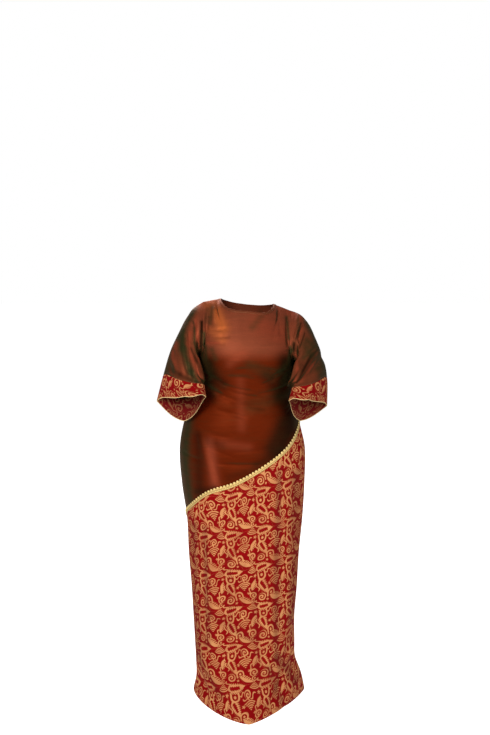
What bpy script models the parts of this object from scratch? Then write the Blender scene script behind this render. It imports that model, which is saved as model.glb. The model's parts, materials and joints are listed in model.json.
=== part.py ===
"""A worn, floor-length African gown with wide three-quarter sleeves, as an empty standing garment.

Shot taffeta makes the bodice and sleeves, and a printed cloth makes the skirt below a slanting seam
and the bands at the sleeve ends. A gold braid covers the slanting seam all round.

All sizes are metres. Heights are measured up from the floor that the hem meets, x runs to the
viewer's right and y runs away from the viewer, so the front of the gown has the smaller y. One empty
lowers everything, so that the origin ends up between the two shoulder seams, where a wearer holds
the gown up.
"""

import math

import bmesh
import bpy
import numpy as np

# Driving sizes
SHOULDER_HEIGHT = 1.405
CLOTH_WALL = 0.0018
BAND_WALL = 0.0022
SEAM_GAP = 0.0003
BRAID_WIDTH = 0.0125
BRAID_THICKNESS = 0.0018
PICOT_PITCH = 0.012
PICOT_HEIGHT = 0.0028
BINDING_WIDTH = 0.0075
BINDING_RISE = 0.0018
BINDING_THICKNESS = 0.0012
BRAID_CLEARANCE = 0.0009
BINDING_CLEARANCE = 0.0011

# The slanting seam, from one side seam (-1) to the other (1), the same on the front and the back, and
# how far from it the folds die out, for its braid stiffens the cloth
SLANT_COLUMNS = ("spread", "height")
SLANT_PLACES = (
    (-1.0, 0.650),
    (-0.7, 0.703),
    (-0.4, 0.766),
    (-0.1, 0.799),
    (0.2, 0.848),
    (0.5, 0.907),
    (0.8, 0.972),
    (1.0, 1.000),
)
SLANT_CALM = 0.05

# Level sections of the body tube: its sides, its depth before and behind the side seams, how square
# the front half is (2 is an ellipse, less is pointed as over the toes, more is boxy), and how much
# squarer its left side is than its right
TRUNK_COLUMNS = ("height", "left", "right", "front", "back", "square", "lean")
TRUNK_SECTIONS = (
    (0.000, -0.191, 0.213, 0.242, 0.172, 1.38, 0.13),
    (0.050, -0.181, 0.203, 0.203, 0.155, 1.60, 0.09),
    (0.120, -0.181, 0.179, 0.166, 0.138, 2.02, 0.05),
    (0.200, -0.184, 0.175, 0.148, 0.128, 2.40, 0.00),
    (0.300, -0.189, 0.175, 0.141, 0.124, 2.55, 0.00),
    (0.400, -0.194, 0.182, 0.141, 0.126, 2.55, 0.00),
    (0.520, -0.203, 0.188, 0.145, 0.133, 2.50, 0.00),
    (0.655, -0.209, 0.200, 0.150, 0.145, 2.40, 0.00),
    (0.770, -0.225, 0.206, 0.153, 0.158, 2.30, 0.00),
    (0.890, -0.232, 0.207, 0.153, 0.164, 2.25, 0.00),
    (0.985, -0.217, 0.187, 0.150, 0.142, 2.20, 0.00),
    (1.080, -0.185, 0.165, 0.137, 0.110, 2.15, 0.00),
    (1.150, -0.176, 0.167, 0.138, 0.104, 2.20, 0.00),
    (1.215, -0.173, 0.171, 0.152, 0.110, 2.35, 0.00),
    (1.270, -0.170, 0.170, 0.142, 0.116, 2.30, 0.00),
)
BACK_SQUARE = 2.15

# The top edge of half a panel, from its middle to the underarm. share is the place among the
# panel's columns, and the last three give the way in which the cloth climbs to meet the edge.
# The neckline, the shoulder seam and the armhole are three stretches with corners between them.
EDGE_COLUMNS = ("share", "x", "y", "height", "go_x", "go_y", "go_up")
FRONT_NECKLINE = (
    (0.00, 0.0000, -0.0900, 1.3755, 0.00, 0.45, 0.90),
    (0.13, 0.0450, -0.0850, 1.3750, -0.15, 0.50, 0.85),
    (0.22, 0.0720, -0.0640, 1.3810, -0.45, 0.50, 0.70),
    (0.29, 0.0870, -0.0280, 1.3940, -0.75, 0.50, 0.45),
    (0.36, 0.0925, 0.0200, 1.4045, -0.75, 0.65, 0.25),
)
FRONT_SHOULDER = (
    (0.36, 0.0925, 0.0200, 1.4045, -0.75, 0.65, 0.25),
    (0.44, 0.1120, 0.0173, 1.4000, -0.20, 0.95, 0.25),
    (0.60, 0.1500, 0.0120, 1.3890, 0.45, 0.85, 0.15),
)
FRONT_ARMHOLE = (
    (0.60, 0.1500, 0.0120, 1.3890, 0.45, 0.85, 0.15),
    (0.70, 0.1495, -0.0480, 1.3480, 0.70, 0.45, 0.50),
    (0.80, 0.1480, -0.0830, 1.2850, 0.80, 0.05, 0.55),
    (0.91, 0.1570, -0.0720, 1.2300, 0.62, 0.30, 0.62),
    (1.00, 0.1720, 0.0000, 1.2000, 0.00, 0.00, 1.00),
)
BACK_NECKLINE = (
    (0.00, 0.0000, 0.0880, 1.3890, 0.00, -0.45, 0.90),
    (0.16, 0.0520, 0.0790, 1.3920, -0.30, -0.50, 0.80),
    (0.27, 0.0830, 0.0520, 1.3990, -0.70, -0.50, 0.50),
    (0.36, 0.0925, 0.0200, 1.4045, -0.75, -0.65, 0.25),
)
BACK_SHOULDER = (
    (0.36, 0.0925, 0.0200, 1.4045, -0.75, -0.65, 0.25),
    (0.44, 0.1120, 0.0173, 1.4000, -0.20, -0.95, 0.25),
    (0.60, 0.1500, 0.0120, 1.3890, 0.45, -0.85, 0.15),
)
BACK_ARMHOLE = (
    (0.60, 0.1500, 0.0120, 1.3890, 0.45, -0.85, 0.15),
    (0.70, 0.1500, 0.0660, 1.3480, 0.70, -0.45, 0.50),
    (0.80, 0.1500, 0.0900, 1.2850, 0.80, -0.05, 0.55),
    (0.91, 0.1580, 0.0700, 1.2300, 0.62, -0.30, 0.62),
    (1.00, 0.1720, 0.0000, 1.2000, 0.00, 0.00, 1.00),
)
ARRIVING_PULL = 0.75
FRONT_EDGE = (FRONT_NECKLINE, FRONT_SHOULDER, FRONT_ARMHOLE)
BACK_EDGE = (BACK_NECKLINE, BACK_SHOULDER, BACK_ARMHOLE)

# How the columns spread round the body below (1 is a side seam), and the height at which each
# leaves the level sections and heads for the top edge
LEAVE_COLUMNS = ("share", "spread", "height")
LEAVE_PLACES = (
    (0.00, 0.00, 1.250),
    (0.36, 0.32, 1.250),
    (0.60, 0.53, 1.235),
    (0.80, 0.68, 1.190),
    (0.91, 0.83, 1.160),
    (1.00, 1.00, 1.140),
)

# The stance: the shoulders sit a little to the right and fall towards that side
STANCE_SHIFT = 0.0045
STANCE_SLOPE = 0.103
STANCE_FROM, STANCE_TO = 1.08, 1.30

# Sections of each sleeve after the armhole, as the four points where its outer, front, inner and
# back lines cross them. place is how far down the sleeve the section lies, and taut is how straight
# the cloth runs between the four points.
SLEEVE_COLUMNS = ("place", "taut", "outer", "front", "inner", "back")
LEFT_SLEEVE = (
    (0.08, 0.00,
     (-0.178, 0.008, 1.384), (-0.160, -0.087, 1.298), (-0.185, -0.018, 1.195), (-0.161, 0.089, 1.298)),
    (0.20, 0.00,
     (-0.201, 0.002, 1.353), (-0.184, -0.096, 1.276), (-0.172, -0.080, 1.152), (-0.192, 0.078, 1.280)),
    (0.48, 0.00,
     (-0.257, -0.008, 1.243), (-0.214, -0.128, 1.206), (-0.144, -0.122, 1.140), (-0.226, 0.040, 1.152)),
    (0.76, 0.15,
     (-0.286, -0.022, 1.150), (-0.204, -0.150, 1.150), (-0.137, -0.130, 1.127), (-0.235, -0.020, 1.070)),
    (1.00, 0.50,
     (-0.308, -0.036, 1.064), (-0.200, -0.205, 1.108), (-0.129, -0.195, 1.104), (-0.210, -0.080, 1.002)),
)
RIGHT_SLEEVE = (
    (0.08, 0.00,
     (0.183, 0.008, 1.362), (0.166, -0.087, 1.270), (0.190, -0.018, 1.175), (0.167, 0.089, 1.270)),
    (0.20, 0.00,
     (0.208, 0.002, 1.337), (0.188, -0.096, 1.258), (0.175, -0.080, 1.140), (0.194, 0.078, 1.264)),
    (0.48, 0.00,
     (0.257, -0.008, 1.236), (0.212, -0.128, 1.196), (0.146, -0.122, 1.130), (0.222, 0.040, 1.147)),
    (0.76, 0.15,
     (0.280, -0.022, 1.142), (0.212, -0.150, 1.139), (0.150, -0.128, 1.118), (0.224, -0.018, 1.064)),
    (1.00, 0.50,
     (0.280, -0.036, 1.047), (0.203, -0.205, 1.097), (0.138, -0.195, 1.092), (0.184, -0.081, 1.003)),
)
BAND_PLACE = 0.76

# The largest folds, each a straight run seen from the front or the back, from its start to its end,
# with the width and depth of its trough (a minus depth makes a ridge)
FOLD_COLUMNS = ("x0", "height0", "x1", "height1", "width", "depth")
FRONT_FOLDS = (
    (-0.150, 1.110, 0.050, 1.085, 0.020, 0.0040),
    (-0.040, 1.060, 0.140, 1.075, 0.016, 0.0035),
    (-0.150, 1.020, 0.020, 1.045, 0.018, 0.0030),
    (-0.060, 0.868, 0.100, 0.862, 0.018, 0.0035),
    (0.178, 0.150, 0.085, 0.030, 0.022, 0.0090),
    (0.190, 0.300, 0.130, 0.160, 0.024, 0.0060),
    (-0.182, 0.085, -0.105, 0.020, 0.018, 0.0070),
    (-0.150, 0.560, -0.148, 0.250, 0.022, 0.0045),
    (0.128, 0.620, 0.120, 0.240, 0.022, 0.0050),
)
BACK_FOLDS = (
    (-0.120, 1.110, 0.120, 1.090, 0.020, 0.0050),
    (-0.150, 1.040, 0.060, 1.062, 0.018, 0.0040),
    (-0.090, 0.700, -0.110, 0.100, 0.028, 0.0070),
    (0.030, 0.640, 0.040, 0.060, 0.030, 0.0080),
    (0.135, 0.600, 0.150, 0.140, 0.024, 0.0060),
)
LEFT_SLEEVE_FOLDS = (
    (-0.184, 1.340, -0.168, 1.225, 0.013, 0.0075),
    (-0.205, 1.300, -0.183, 1.180, 0.013, 0.0060),
    (-0.238, 1.240, -0.172, 1.130, 0.016, 0.0060),
    (-0.262, 1.190, -0.200, 1.120, 0.014, 0.0040),
)
RIGHT_SLEEVE_FOLDS = (
    (0.186, 1.320, 0.170, 1.215, 0.013, 0.0075),
    (0.212, 1.290, 0.186, 1.200, 0.013, 0.0060),
    (0.262, 1.222, 0.168, 1.120, 0.016, 0.0075),
    (0.268, 1.150, 0.205, 1.110, 0.014, 0.0040),
)

# Grid sizes
NECK_COLUMNS, SHOULDER_COLUMNS, ARMHOLE_COLUMNS = 7, 3, 12
BODICE_ROWS, YOKE_ROWS, SKIRT_ROWS = 8, 7, 10
SLEEVE_ROWS, BAND_ROWS = 9, 3
EDGE_ROW = 0.055
ARC_SAMPLES = 64
PICOT_STEPS = 2

# Colours and surface values from the photo
TAFFETA_COLOUR = (0.30, 0.075, 0.035, 1.0)
PRINT_COLOUR = (0.46, 0.16, 0.09, 1.0)
GOLD_COLOUR = (0.72, 0.52, 0.20, 1.0)


def named(rows, columns):
    """The table's columns as arrays by name."""
    return {name: np.array([row[i] for row in rows], float) for i, name in enumerate(columns)}


def smooth(known, values, wanted):
    """A soft curve through known points, read at the wanted places."""
    known, values = np.asarray(known, float), np.asarray(values, float)
    flat = values.reshape(len(known), -1)
    gaps = np.diff(known)[:, None]
    steps = np.diff(flat, axis=0) / gaps
    slopes = np.concatenate([steps[:1], steps[:-1], steps[-1:]])
    if len(known) > 2:
        mean = (steps[:-1] * gaps[1:] + steps[1:] * gaps[:-1]) / (gaps[1:] + gaps[:-1])
        turning = steps[:-1] * steps[1:] < 0
        slopes[1:-1] = np.where(turning, mean * 0.5, mean)
    wanted = np.clip(np.asarray(wanted, float), known[0], known[-1])
    cell = np.clip(np.searchsorted(known, wanted, side="right") - 1, 0, len(known) - 2)
    gap = gaps[cell, 0]
    part = ((wanted - known[cell]) / gap)[..., None]
    gap = gap[..., None]
    found = (
        (2 * part**3 - 3 * part**2 + 1) * flat[cell]
        + (part**3 - 2 * part**2 + part) * gap * slopes[cell]
        + (-2 * part**3 + 3 * part**2) * flat[cell + 1]
        + (part**3 - part**2) * gap * slopes[cell + 1]
    )
    return found.reshape(wanted.shape + values.shape[1:])


def ease(value):
    """0 below 0, 1 above 1, and a soft step between."""
    value = np.clip(value, 0.0, 1.0)
    return value * value * (3 - 2 * value)


TRUNK = named(TRUNK_SECTIONS, TRUNK_COLUMNS)
LEAVE = named(LEAVE_PLACES, LEAVE_COLUMNS)
SLANT = named(SLANT_PLACES, SLANT_COLUMNS)


def section(angle, power, half, depth):
    """A quarter of a body section, where angle 0 faces front or back and a right angle the side."""
    x = half * np.sin(angle) ** (2 / power)
    y = depth * np.cos(angle) ** (2 / power)
    return x, y


def trunk(turn, height):
    """A point of the body tube. turn is 0 at the middle front, 1 at the right seam and 2 behind,
    and runs evenly along the cloth between those."""
    turn, height = np.broadcast_arrays(np.asarray(turn, float), np.asarray(height, float))
    size = {name: smooth(TRUNK["height"], TRUNK[name], height) for name in TRUNK_COLUMNS[1:]}
    behind = np.abs(turn) > 1
    across = np.where(behind, 2 - np.abs(turn), np.abs(turn))
    power = np.where(behind, BACK_SQUARE, size["square"] - np.sign(turn) * size["lean"])
    depth = np.where(behind, size["back"], size["front"])
    middle, half = (size["left"] + size["right"]) / 2, (size["right"] - size["left"]) / 2
    angles = np.linspace(0, math.pi / 2, ARC_SAMPLES + 1)
    x, y = section(angles, power[..., None], half[..., None], depth[..., None])
    length = np.cumsum(np.hypot(np.diff(x), np.diff(y)), axis=-1)
    length = np.concatenate([np.zeros(length.shape[:-1] + (1,)), length], axis=-1)
    target = across[..., None] * length[..., -1:]
    cell = np.clip((length < target).sum(-1, keepdims=True) - 1, 0, ARC_SAMPLES - 1)
    before = np.take_along_axis(length, cell, -1)
    after = np.take_along_axis(length, cell + 1, -1)
    part = np.clip((target - before) / (after - before), 0, 1)
    angle = ((cell + part) * angles[1])[..., 0]
    x, y = section(angle, power, half, depth)
    return np.stack([middle + np.sign(turn) * x, np.where(behind, y, -y), height], axis=-1)


def stand(points):
    """The points with the stance of the shoulders."""
    part = ease((points[..., 2] - STANCE_FROM) / (STANCE_TO - STANCE_FROM))
    moved = points.copy()
    moved[..., 0] += STANCE_SHIFT * part
    moved[..., 2] -= STANCE_SLOPE * points[..., 0] * part
    return moved


def top_edge(stretches, share):
    """Places on a panel's top edge, and the ways in which the cloth meets it. share runs from -1 at
    one underarm to 1 at the other."""
    size = np.abs(share)
    found = np.zeros(size.shape + (6,))
    for rows in stretches:
        row = named(rows, EDGE_COLUMNS)
        inside = (size >= row["share"][0] - 1e-9) & (size <= row["share"][-1] + 1e-9)
        values = np.stack([row[name] for name in EDGE_COLUMNS[1:]], axis=-1)
        found = np.where(inside[..., None], smooth(row["share"], values, size), found)
    found[..., [0, 3]] *= np.where(share < 0, -1.0, 1.0)[..., None]
    place, way = found[..., :3], found[..., 3:]
    return place, way / np.linalg.norm(way, axis=-1, keepdims=True)


def spread(share):
    """Where a column lies on the body, from -1 at the left side seam to 1 at the right one."""
    return np.sign(share) * smooth(LEAVE["share"], LEAVE["spread"], np.abs(share))


def around(share, back):
    """The turn about the body at a column of the front or back panel."""
    place = spread(share)
    return np.where(place < 0, -2.0, 2.0) - place if back else place


def yoke(share, climb, back):
    """Points from the level sections (climb 0) to the top edge (climb 1) of a panel."""
    turn = around(share, back)
    low = smooth(LEAVE["share"], LEAVE["height"], np.abs(share))
    start = trunk(turn, low)
    lean = (start - trunk(turn, low - 0.01)) / 0.01
    end, arrive = top_edge(BACK_EDGE if back else FRONT_EDGE, share)
    reach = np.linalg.norm(end - start, axis=-1, keepdims=True)
    c = climb[..., None]
    return (
        (2 * c**3 - 3 * c**2 + 1) * start
        + (c**3 - 2 * c**2 + c) * reach * lean
        + (-2 * c**3 + 3 * c**2) * end
        + (c**3 - c**2) * reach * arrive * ARRIVING_PULL
    )


def slant_height(share):
    """Height of the slanting seam, which climbs to the right seam on the front and on the back."""
    return smooth(SLANT["spread"], SLANT["height"], spread(share))


def panel_shares():
    """Shares of a panel's columns, with one on each corner of the top edge."""
    half = np.concatenate([
        np.linspace(0, NECK_POINT, NECK_COLUMNS + 1)[:-1],
        np.linspace(NECK_POINT, SHOULDER_POINT, SHOULDER_COLUMNS + 1)[:-1],
        np.linspace(SHOULDER_POINT, 1, ARMHOLE_COLUMNS + 1),
    ])
    return np.concatenate([-half[:0:-1], half])


NECK_POINT = FRONT_NECKLINE[-1][0]
SHOULDER_POINT = FRONT_SHOULDER[-1][0]


def bodice_points(back):
    """The bodice panel's outer face, from the slanting seam up to its top edge."""
    share = panel_shares()[:, None]
    low, high = slant_height(share), smooth(LEAVE["share"], LEAVE["height"], np.abs(share))
    body = trunk(around(share, back), low + (high - low) * np.linspace(0, 1, BODICE_ROWS + 1))
    climb = np.append(np.linspace(0, 1 - EDGE_ROW, YOKE_ROWS)[1:], 1)
    top = yoke(share + climb * 0, climb + share * 0, back)
    return stand(np.concatenate([body, top], axis=1))


def skirt_points(back):
    """The skirt panel's outer face, from the hem up to the slanting seam."""
    share = panel_shares()[:, None]
    part = np.linspace(0, 1, SKIRT_ROWS + 1) ** 1.2
    return stand(trunk(around(share, back), slant_height(share) * part))


def arm_ring(side):
    """The armhole of the left (-1) or right (1) side, from the shoulder round the front."""
    half = np.linspace(SHOULDER_POINT, 1, ARMHOLE_COLUMNS + 1)
    front, _ = top_edge((FRONT_ARMHOLE,), half * side)
    back, _ = top_edge((BACK_ARMHOLE,), half[::-1] * side)
    return stand(np.concatenate([front, back[1:-1]]))


def four_point_ring(row, steps):
    """A closed smooth ring through a section's outer, front, inner and back points."""
    part = dict(zip(SLEEVE_COLUMNS, row))
    taut = part["taut"]
    outer, front, inner, back = (np.array(part[line]) for line in SLEEVE_COLUMNS[2:])
    angle = np.arange(steps)[:, None] * 2 * math.pi / steps
    pull = 1 - taut + taut / (np.abs(np.cos(angle)) + np.abs(np.sin(angle)))
    middle = (outer + front + inner + back) / 4
    bulge = (outer + inner - front - back) / 4
    return (
        middle
        + (outer - inner) / 2 * np.cos(angle) * pull
        + (front - back) / 2 * np.sin(angle) * pull
        + bulge * np.cos(2 * angle)
    )


def sleeve_points(side, places):
    """The sleeve's outer face at the given places, from the armhole (0) to the cuff edge (1)."""
    rows = LEFT_SLEEVE if side < 0 else RIGHT_SLEEVE
    ring = arm_ring(side)
    rings = np.stack([ring] + [four_point_ring(row, len(ring)) for row in rows])
    return smooth([0.0] + [row[0] for row in rows], rings, places).transpose(1, 0, 2)


def fold_depth(rows, points):
    """How deep the folds press the points in, each fold a soft trough that fades at both ends."""
    row = named(rows, FOLD_COLUMNS)
    total = np.zeros(points.shape[:-1])
    x, height = points[..., 0], points[..., 2]
    for i in range(len(rows)):
        dx, dh = row["x1"][i] - row["x0"][i], row["height1"][i] - row["height0"][i]
        length = math.hypot(dx, dh)
        along = ((x - row["x0"][i]) * dx + (height - row["height0"][i]) * dh) / length**2
        aside = ((x - row["x0"][i]) * dh - (height - row["height0"][i]) * dx) / length
        fade = ease(along * 4 + 0.5) * ease((1 - along) * 4 + 0.5)
        total += row["depth"][i] * np.exp(-((aside / row["width"][i]) ** 2)) * fade
    return total


def from_ends(count, softness, first=True, last=True):
    """A soft 0 at the ends of a row of points, and 1 away from them."""
    place = np.arange(count, dtype=float)
    start = place if first else np.full(count, np.inf)
    end = place[::-1] if last else np.full(count, np.inf)
    return ease(np.minimum(start, end) / softness)


def plain_pieces():
    """Every cloth piece's outer face before folding, as a grid whose columns run round the gown
    against the clock from above and whose rows climb, so that faces point out."""
    pieces = {}
    for back, word in ((False, "front"), (True, "back")):
        for name, points in (("bodice", bodice_points(back)), ("skirt", skirt_points(back))):
            pieces[f"{name}_{word}"] = points[::-1] if back else points
    upper = np.linspace(0, BAND_PLACE, SLEEVE_ROWS + 1)
    lower = np.linspace(BAND_PLACE, 1, BAND_ROWS + 1)
    for side, word in ((-1, "left"), (1, "right")):
        for name, places in (("sleeve", upper), ("sleeve_band", lower)):
            points = sleeve_points(side, places)
            pieces[f"{name}_{word}"] = points[::-1] if side < 0 else points
    return pieces


def is_tube(name):
    return name.startswith("sleeve")


def face_normals(points, closed):
    """Normals of a grid's faces, as long as the faces are large, by their lower column and row."""
    there = np.roll(points, -1, axis=0) if closed else points[1:]
    here = points if closed else points[:-1]
    return np.cross(there[:, 1:] - here[:, :-1], here[:, 1:] - there[:, :-1])


def shared_normals(pieces):
    """Unit normals at every point, the same for all the pieces that meet there, so that walls mitre
    at the seams."""
    sums, keys = {}, {}
    for name, points in pieces.items():
        faces = face_normals(points, is_tube(name))
        total = np.zeros_like(points)
        columns = len(points)
        first = np.arange(len(faces))
        second = (first + 1) % columns
        for column in (first, second):
            for row in (slice(None, -1), slice(1, None)):
                total[column, row] += faces
        total /= np.linalg.norm(total, axis=-1, keepdims=True)
        keys[name] = np.round(points * 20000).astype(int)
        for key, value in zip(keys[name].reshape(-1, 3), total.reshape(-1, 3)):
            sums[tuple(key)] = sums.get(tuple(key), 0) + value
    found = {}
    for name, points in pieces.items():
        flat = np.array([sums[tuple(key)] for key in keys[name].reshape(-1, 3)])
        flat /= np.linalg.norm(flat, axis=1, keepdims=True)
        found[name] = flat.reshape(points.shape)
    return found


def fold_table(name):
    tables = {
        "bodice_front": FRONT_FOLDS,
        "skirt_front": FRONT_FOLDS,
        "bodice_back": BACK_FOLDS,
        "skirt_back": BACK_FOLDS,
        "sleeve_left": LEFT_SLEEVE_FOLDS,
        "sleeve_right": RIGHT_SLEEVE_FOLDS,
    }
    return tables.get(name, ())


def pressed_pieces(pieces):
    """The pieces with their largest folds pressed in, which die out at the seams."""
    normals = shared_normals(pieces)
    share = panel_shares()[:, None]
    found = {}
    for name, points in pieces.items():
        depth = fold_depth(fold_table(name), points)
        columns, rows = points.shape[:2]
        if is_tube(name):
            depth = depth * from_ends(rows, 2.0)
        else:
            on_bodice = name.startswith("bodice")
            depth = depth * from_ends(columns, 3.0)[:, None]
            if on_bodice:
                depth = depth * from_ends(rows, 2.0, first=False)
            line = slant_height(share[::-1] if name.endswith("back") else share)
            depth = depth * ease(np.abs(points[..., 2] - line) / SLANT_CALM)
        found[name] = points - normals[name] * depth[..., None]
    return found


def draw_in(points, closed):
    """The grid with its outer rows and columns drawn in by half a seam gap."""
    found = points.copy()
    pairs = [((slice(None), 0), (slice(None), 1)), ((slice(None), -1), (slice(None), -2))]
    if not closed:
        pairs += [((0,), (1,)), ((-1,), (-2,))]
    for edge, beside in pairs:
        step = points[beside] - points[edge]
        found[edge] += step / np.linalg.norm(step, axis=-1, keepdims=True) * SEAM_GAP / 2
    return found


def rim(bm, a, b, c, d):
    """Closes a narrow four-sided gap along its shorter diagonal, as the piece across the seam does."""
    if (a.co - c.co).length < (b.co - d.co).length:
        bm.faces.new((a, b, c))
        bm.faces.new((a, c, d))
    else:
        bm.faces.new((a, b, d))
        bm.faces.new((b, c, d))


def wall(name, outer, inner, material, closed=False):
    """A closed wall between an outer and an inner grid of points."""
    columns, rows = outer.shape[:2]
    bm = bmesh.new()
    out = [[bm.verts.new(point) for point in column] for column in outer]
    inn = [[bm.verts.new(point) for point in column] for column in inner]
    for i in range(columns if closed else columns - 1):
        k = (i + 1) % columns
        for j in range(rows - 1):
            bm.faces.new((out[i][j], out[k][j], out[k][j + 1], out[i][j + 1]))
            bm.faces.new((inn[i][j + 1], inn[k][j + 1], inn[k][j], inn[i][j]))
        rim(bm, inn[i][0], inn[k][0], out[k][0], out[i][0])
        rim(bm, out[i][-1], out[k][-1], inn[k][-1], inn[i][-1])
    if not closed:
        for j in range(rows - 1):
            rim(bm, out[0][j], out[0][j + 1], inn[0][j + 1], inn[0][j])
            rim(bm, inn[-1][j], inn[-1][j + 1], out[-1][j + 1], out[-1][j])
    mesh = bpy.data.meshes.new(name)
    bm.to_mesh(mesh)
    bm.free()
    mesh.materials.append(material)
    mesh.shade_smooth()
    mesh.set_sharp_from_angle(angle=math.radians(50))
    obj = bpy.data.objects.new(name, mesh)
    GOWN.objects.link(obj)
    obj.parent = HOLDER
    return obj


def make_material(name, colour, roughness, metallic=0.0):
    material = bpy.data.materials.new(name)
    material.use_nodes = True
    shader = material.node_tree.nodes["Principled BSDF"]
    shader.inputs["Base Color"].default_value = colour
    shader.inputs["Roughness"].default_value = roughness
    shader.inputs["Metallic"].default_value = metallic
    material.diffuse_color = colour
    return material


def make_cloth(pieces, normals):
    """The panels, sleeves and sleeve bands."""
    for name, outer in pieces.items():
        printed = name.startswith("skirt") or "band" in name
        thickness = BAND_WALL if "band" in name else CLOTH_WALL
        inner = outer - normals[name] * thickness
        if name.startswith("skirt"):
            inner[:, 0, 2] = outer[:, 0, 2]
        closed = is_tube(name)
        material = PRINTED if printed else TAFFETA
        wall(name, draw_in(outer, closed), draw_in(inner, closed), material, closed)


def make_braid():
    """Gold braid over the slanting seam, with a row of picots along its upper edge."""
    for back in (False, True):
        span = np.linspace(-1, 1, 401)
        line = trunk(around(span, back), slant_height(span))
        length = np.concatenate([[0], np.cumsum(np.linalg.norm(np.diff(line, axis=0), axis=1))])
        picots = round(length[-1] / PICOT_PITCH)
        wanted = np.linspace(0, length[-1], picots * PICOT_STEPS + 1)
        share = np.interp(wanted, length, span)
        swell = np.abs(np.sin(np.arange(len(share)) * math.pi / PICOT_STEPS))
        middle = slant_height(share)
        heights = np.stack([
            middle - BRAID_WIDTH / 2,
            middle + BRAID_WIDTH / 2 + PICOT_HEIGHT * swell,
        ], axis=1)
        points = stand(trunk(around(share, back)[:, None], heights))
        points = points[::-1] if back else points
        out = np.cross(np.gradient(points, axis=0), np.gradient(points, axis=1))
        out[[0, -1], :, 1] = 0
        out /= np.linalg.norm(out, axis=-1, keepdims=True)
        inner = points + out * BRAID_CLEARANCE
        outer = inner + out * BRAID_THICKNESS
        outer, inner = draw_in(outer, False), draw_in(inner, False)
        wall("braid_back" if back else "braid_front", outer, inner, GOLD)


def make_binding(pieces, normals):
    """A narrow self binding on the neckline, standing a little above the cloth's edge."""
    on_neck = np.flatnonzero(np.abs(panel_shares()) <= NECK_POINT + 1e-9)
    halves, ways = [], []
    for name in ("bodice_front", "bodice_back"):
        edge = pieces[name][on_neck, -1]
        down = pieces[name][on_neck, -2] - edge
        down[0] = pieces[name][on_neck[0] - 1, -1] - edge[0]
        down[-1] = pieces[name][on_neck[-1] + 1, -1] - edge[-1]
        down /= np.linalg.norm(down, axis=1, keepdims=True)
        low, high = edge + down * BINDING_WIDTH, edge - down * BINDING_RISE
        halves.append(np.stack([low, high], axis=1)[:-1])
        ways.append(normals[name][on_neck[:-1], -1])
    points, out = np.concatenate(halves), np.concatenate(ways)[:, None]
    inner = points + out * BINDING_CLEARANCE
    outer = inner + out * BINDING_THICKNESS
    wall("neck_binding", outer, inner, TAFFETA, True)


for old in list(bpy.data.objects):
    bpy.data.objects.remove(old, do_unlink=True)

GOWN = bpy.data.collections.new("slant_seam_gown")
bpy.context.scene.collection.children.link(GOWN)
HOLDER = bpy.data.objects.new("held_at_shoulders", None)
GOWN.objects.link(HOLDER)
HOLDER.location = (0.0, 0.0, -SHOULDER_HEIGHT)

TAFFETA = make_material("shot_taffeta", TAFFETA_COLOUR, 0.42)
PRINTED = make_material("printed_cloth", PRINT_COLOUR, 0.75)
GOLD = make_material("gold_braid", GOLD_COLOUR, 0.45, 0.6)

CLOTH = pressed_pieces(plain_pieces())
NORMALS = shared_normals(CLOTH)
make_cloth(CLOTH, NORMALS)
make_braid()
make_binding(CLOTH, NORMALS)
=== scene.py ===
"""Looks of a worn, floor-length African gown with wide three-quarter sleeves, standing empty.

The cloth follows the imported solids: the same sections, edges and large folds, with the smaller
creases, darts and seams added. Shot taffeta, printed cotton and gold braid are plain materials of
their own. Sizes are metres, and heights are measured up from the floor until a mesh is made.
"""

import json
import math

import bpy
import numpy as np
from mathutils import Matrix, Vector

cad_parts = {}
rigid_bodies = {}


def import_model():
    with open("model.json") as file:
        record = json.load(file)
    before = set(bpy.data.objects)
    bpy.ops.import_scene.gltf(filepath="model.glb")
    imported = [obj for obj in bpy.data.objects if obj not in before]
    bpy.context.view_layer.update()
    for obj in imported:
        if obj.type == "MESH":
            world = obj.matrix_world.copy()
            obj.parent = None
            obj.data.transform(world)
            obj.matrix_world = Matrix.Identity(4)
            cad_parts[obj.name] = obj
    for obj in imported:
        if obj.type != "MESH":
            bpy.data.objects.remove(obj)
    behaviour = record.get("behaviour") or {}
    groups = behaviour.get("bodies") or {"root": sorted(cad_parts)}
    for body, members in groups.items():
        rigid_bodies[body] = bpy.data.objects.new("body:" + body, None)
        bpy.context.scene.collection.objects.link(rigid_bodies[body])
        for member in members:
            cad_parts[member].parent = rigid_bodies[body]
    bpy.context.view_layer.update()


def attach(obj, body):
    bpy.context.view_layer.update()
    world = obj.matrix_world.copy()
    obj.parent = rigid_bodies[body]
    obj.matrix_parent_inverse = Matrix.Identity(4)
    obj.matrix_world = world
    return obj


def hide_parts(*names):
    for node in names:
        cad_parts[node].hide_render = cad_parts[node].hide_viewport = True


for old in list(bpy.data.objects):
    bpy.data.objects.remove(old, do_unlink=True)

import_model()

# Driving sizes
SHOULDER_HEIGHT = 1.405
BRAID_WIDTH = 0.0125
PICOT_PITCH = 0.012
PICOT_HEIGHT = 0.0028
BINDING_WIDTH = 0.0075
BINDING_RISE = 0.0018

# The slanting seam, from the left side seam (-1) to the right one (1), the same on the front and
# the back, and how far from it the folds die out, for its braid stiffens the cloth
SLANT_COLUMNS = ("spread", "height")
SLANT_PLACES = (
    (-1.0, 0.650),
    (-0.7, 0.703),
    (-0.4, 0.766),
    (-0.1, 0.799),
    (0.2, 0.848),
    (0.5, 0.907),
    (0.8, 0.972),
    (1.0, 1.000),
)
SLANT_CALM = 0.05

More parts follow.
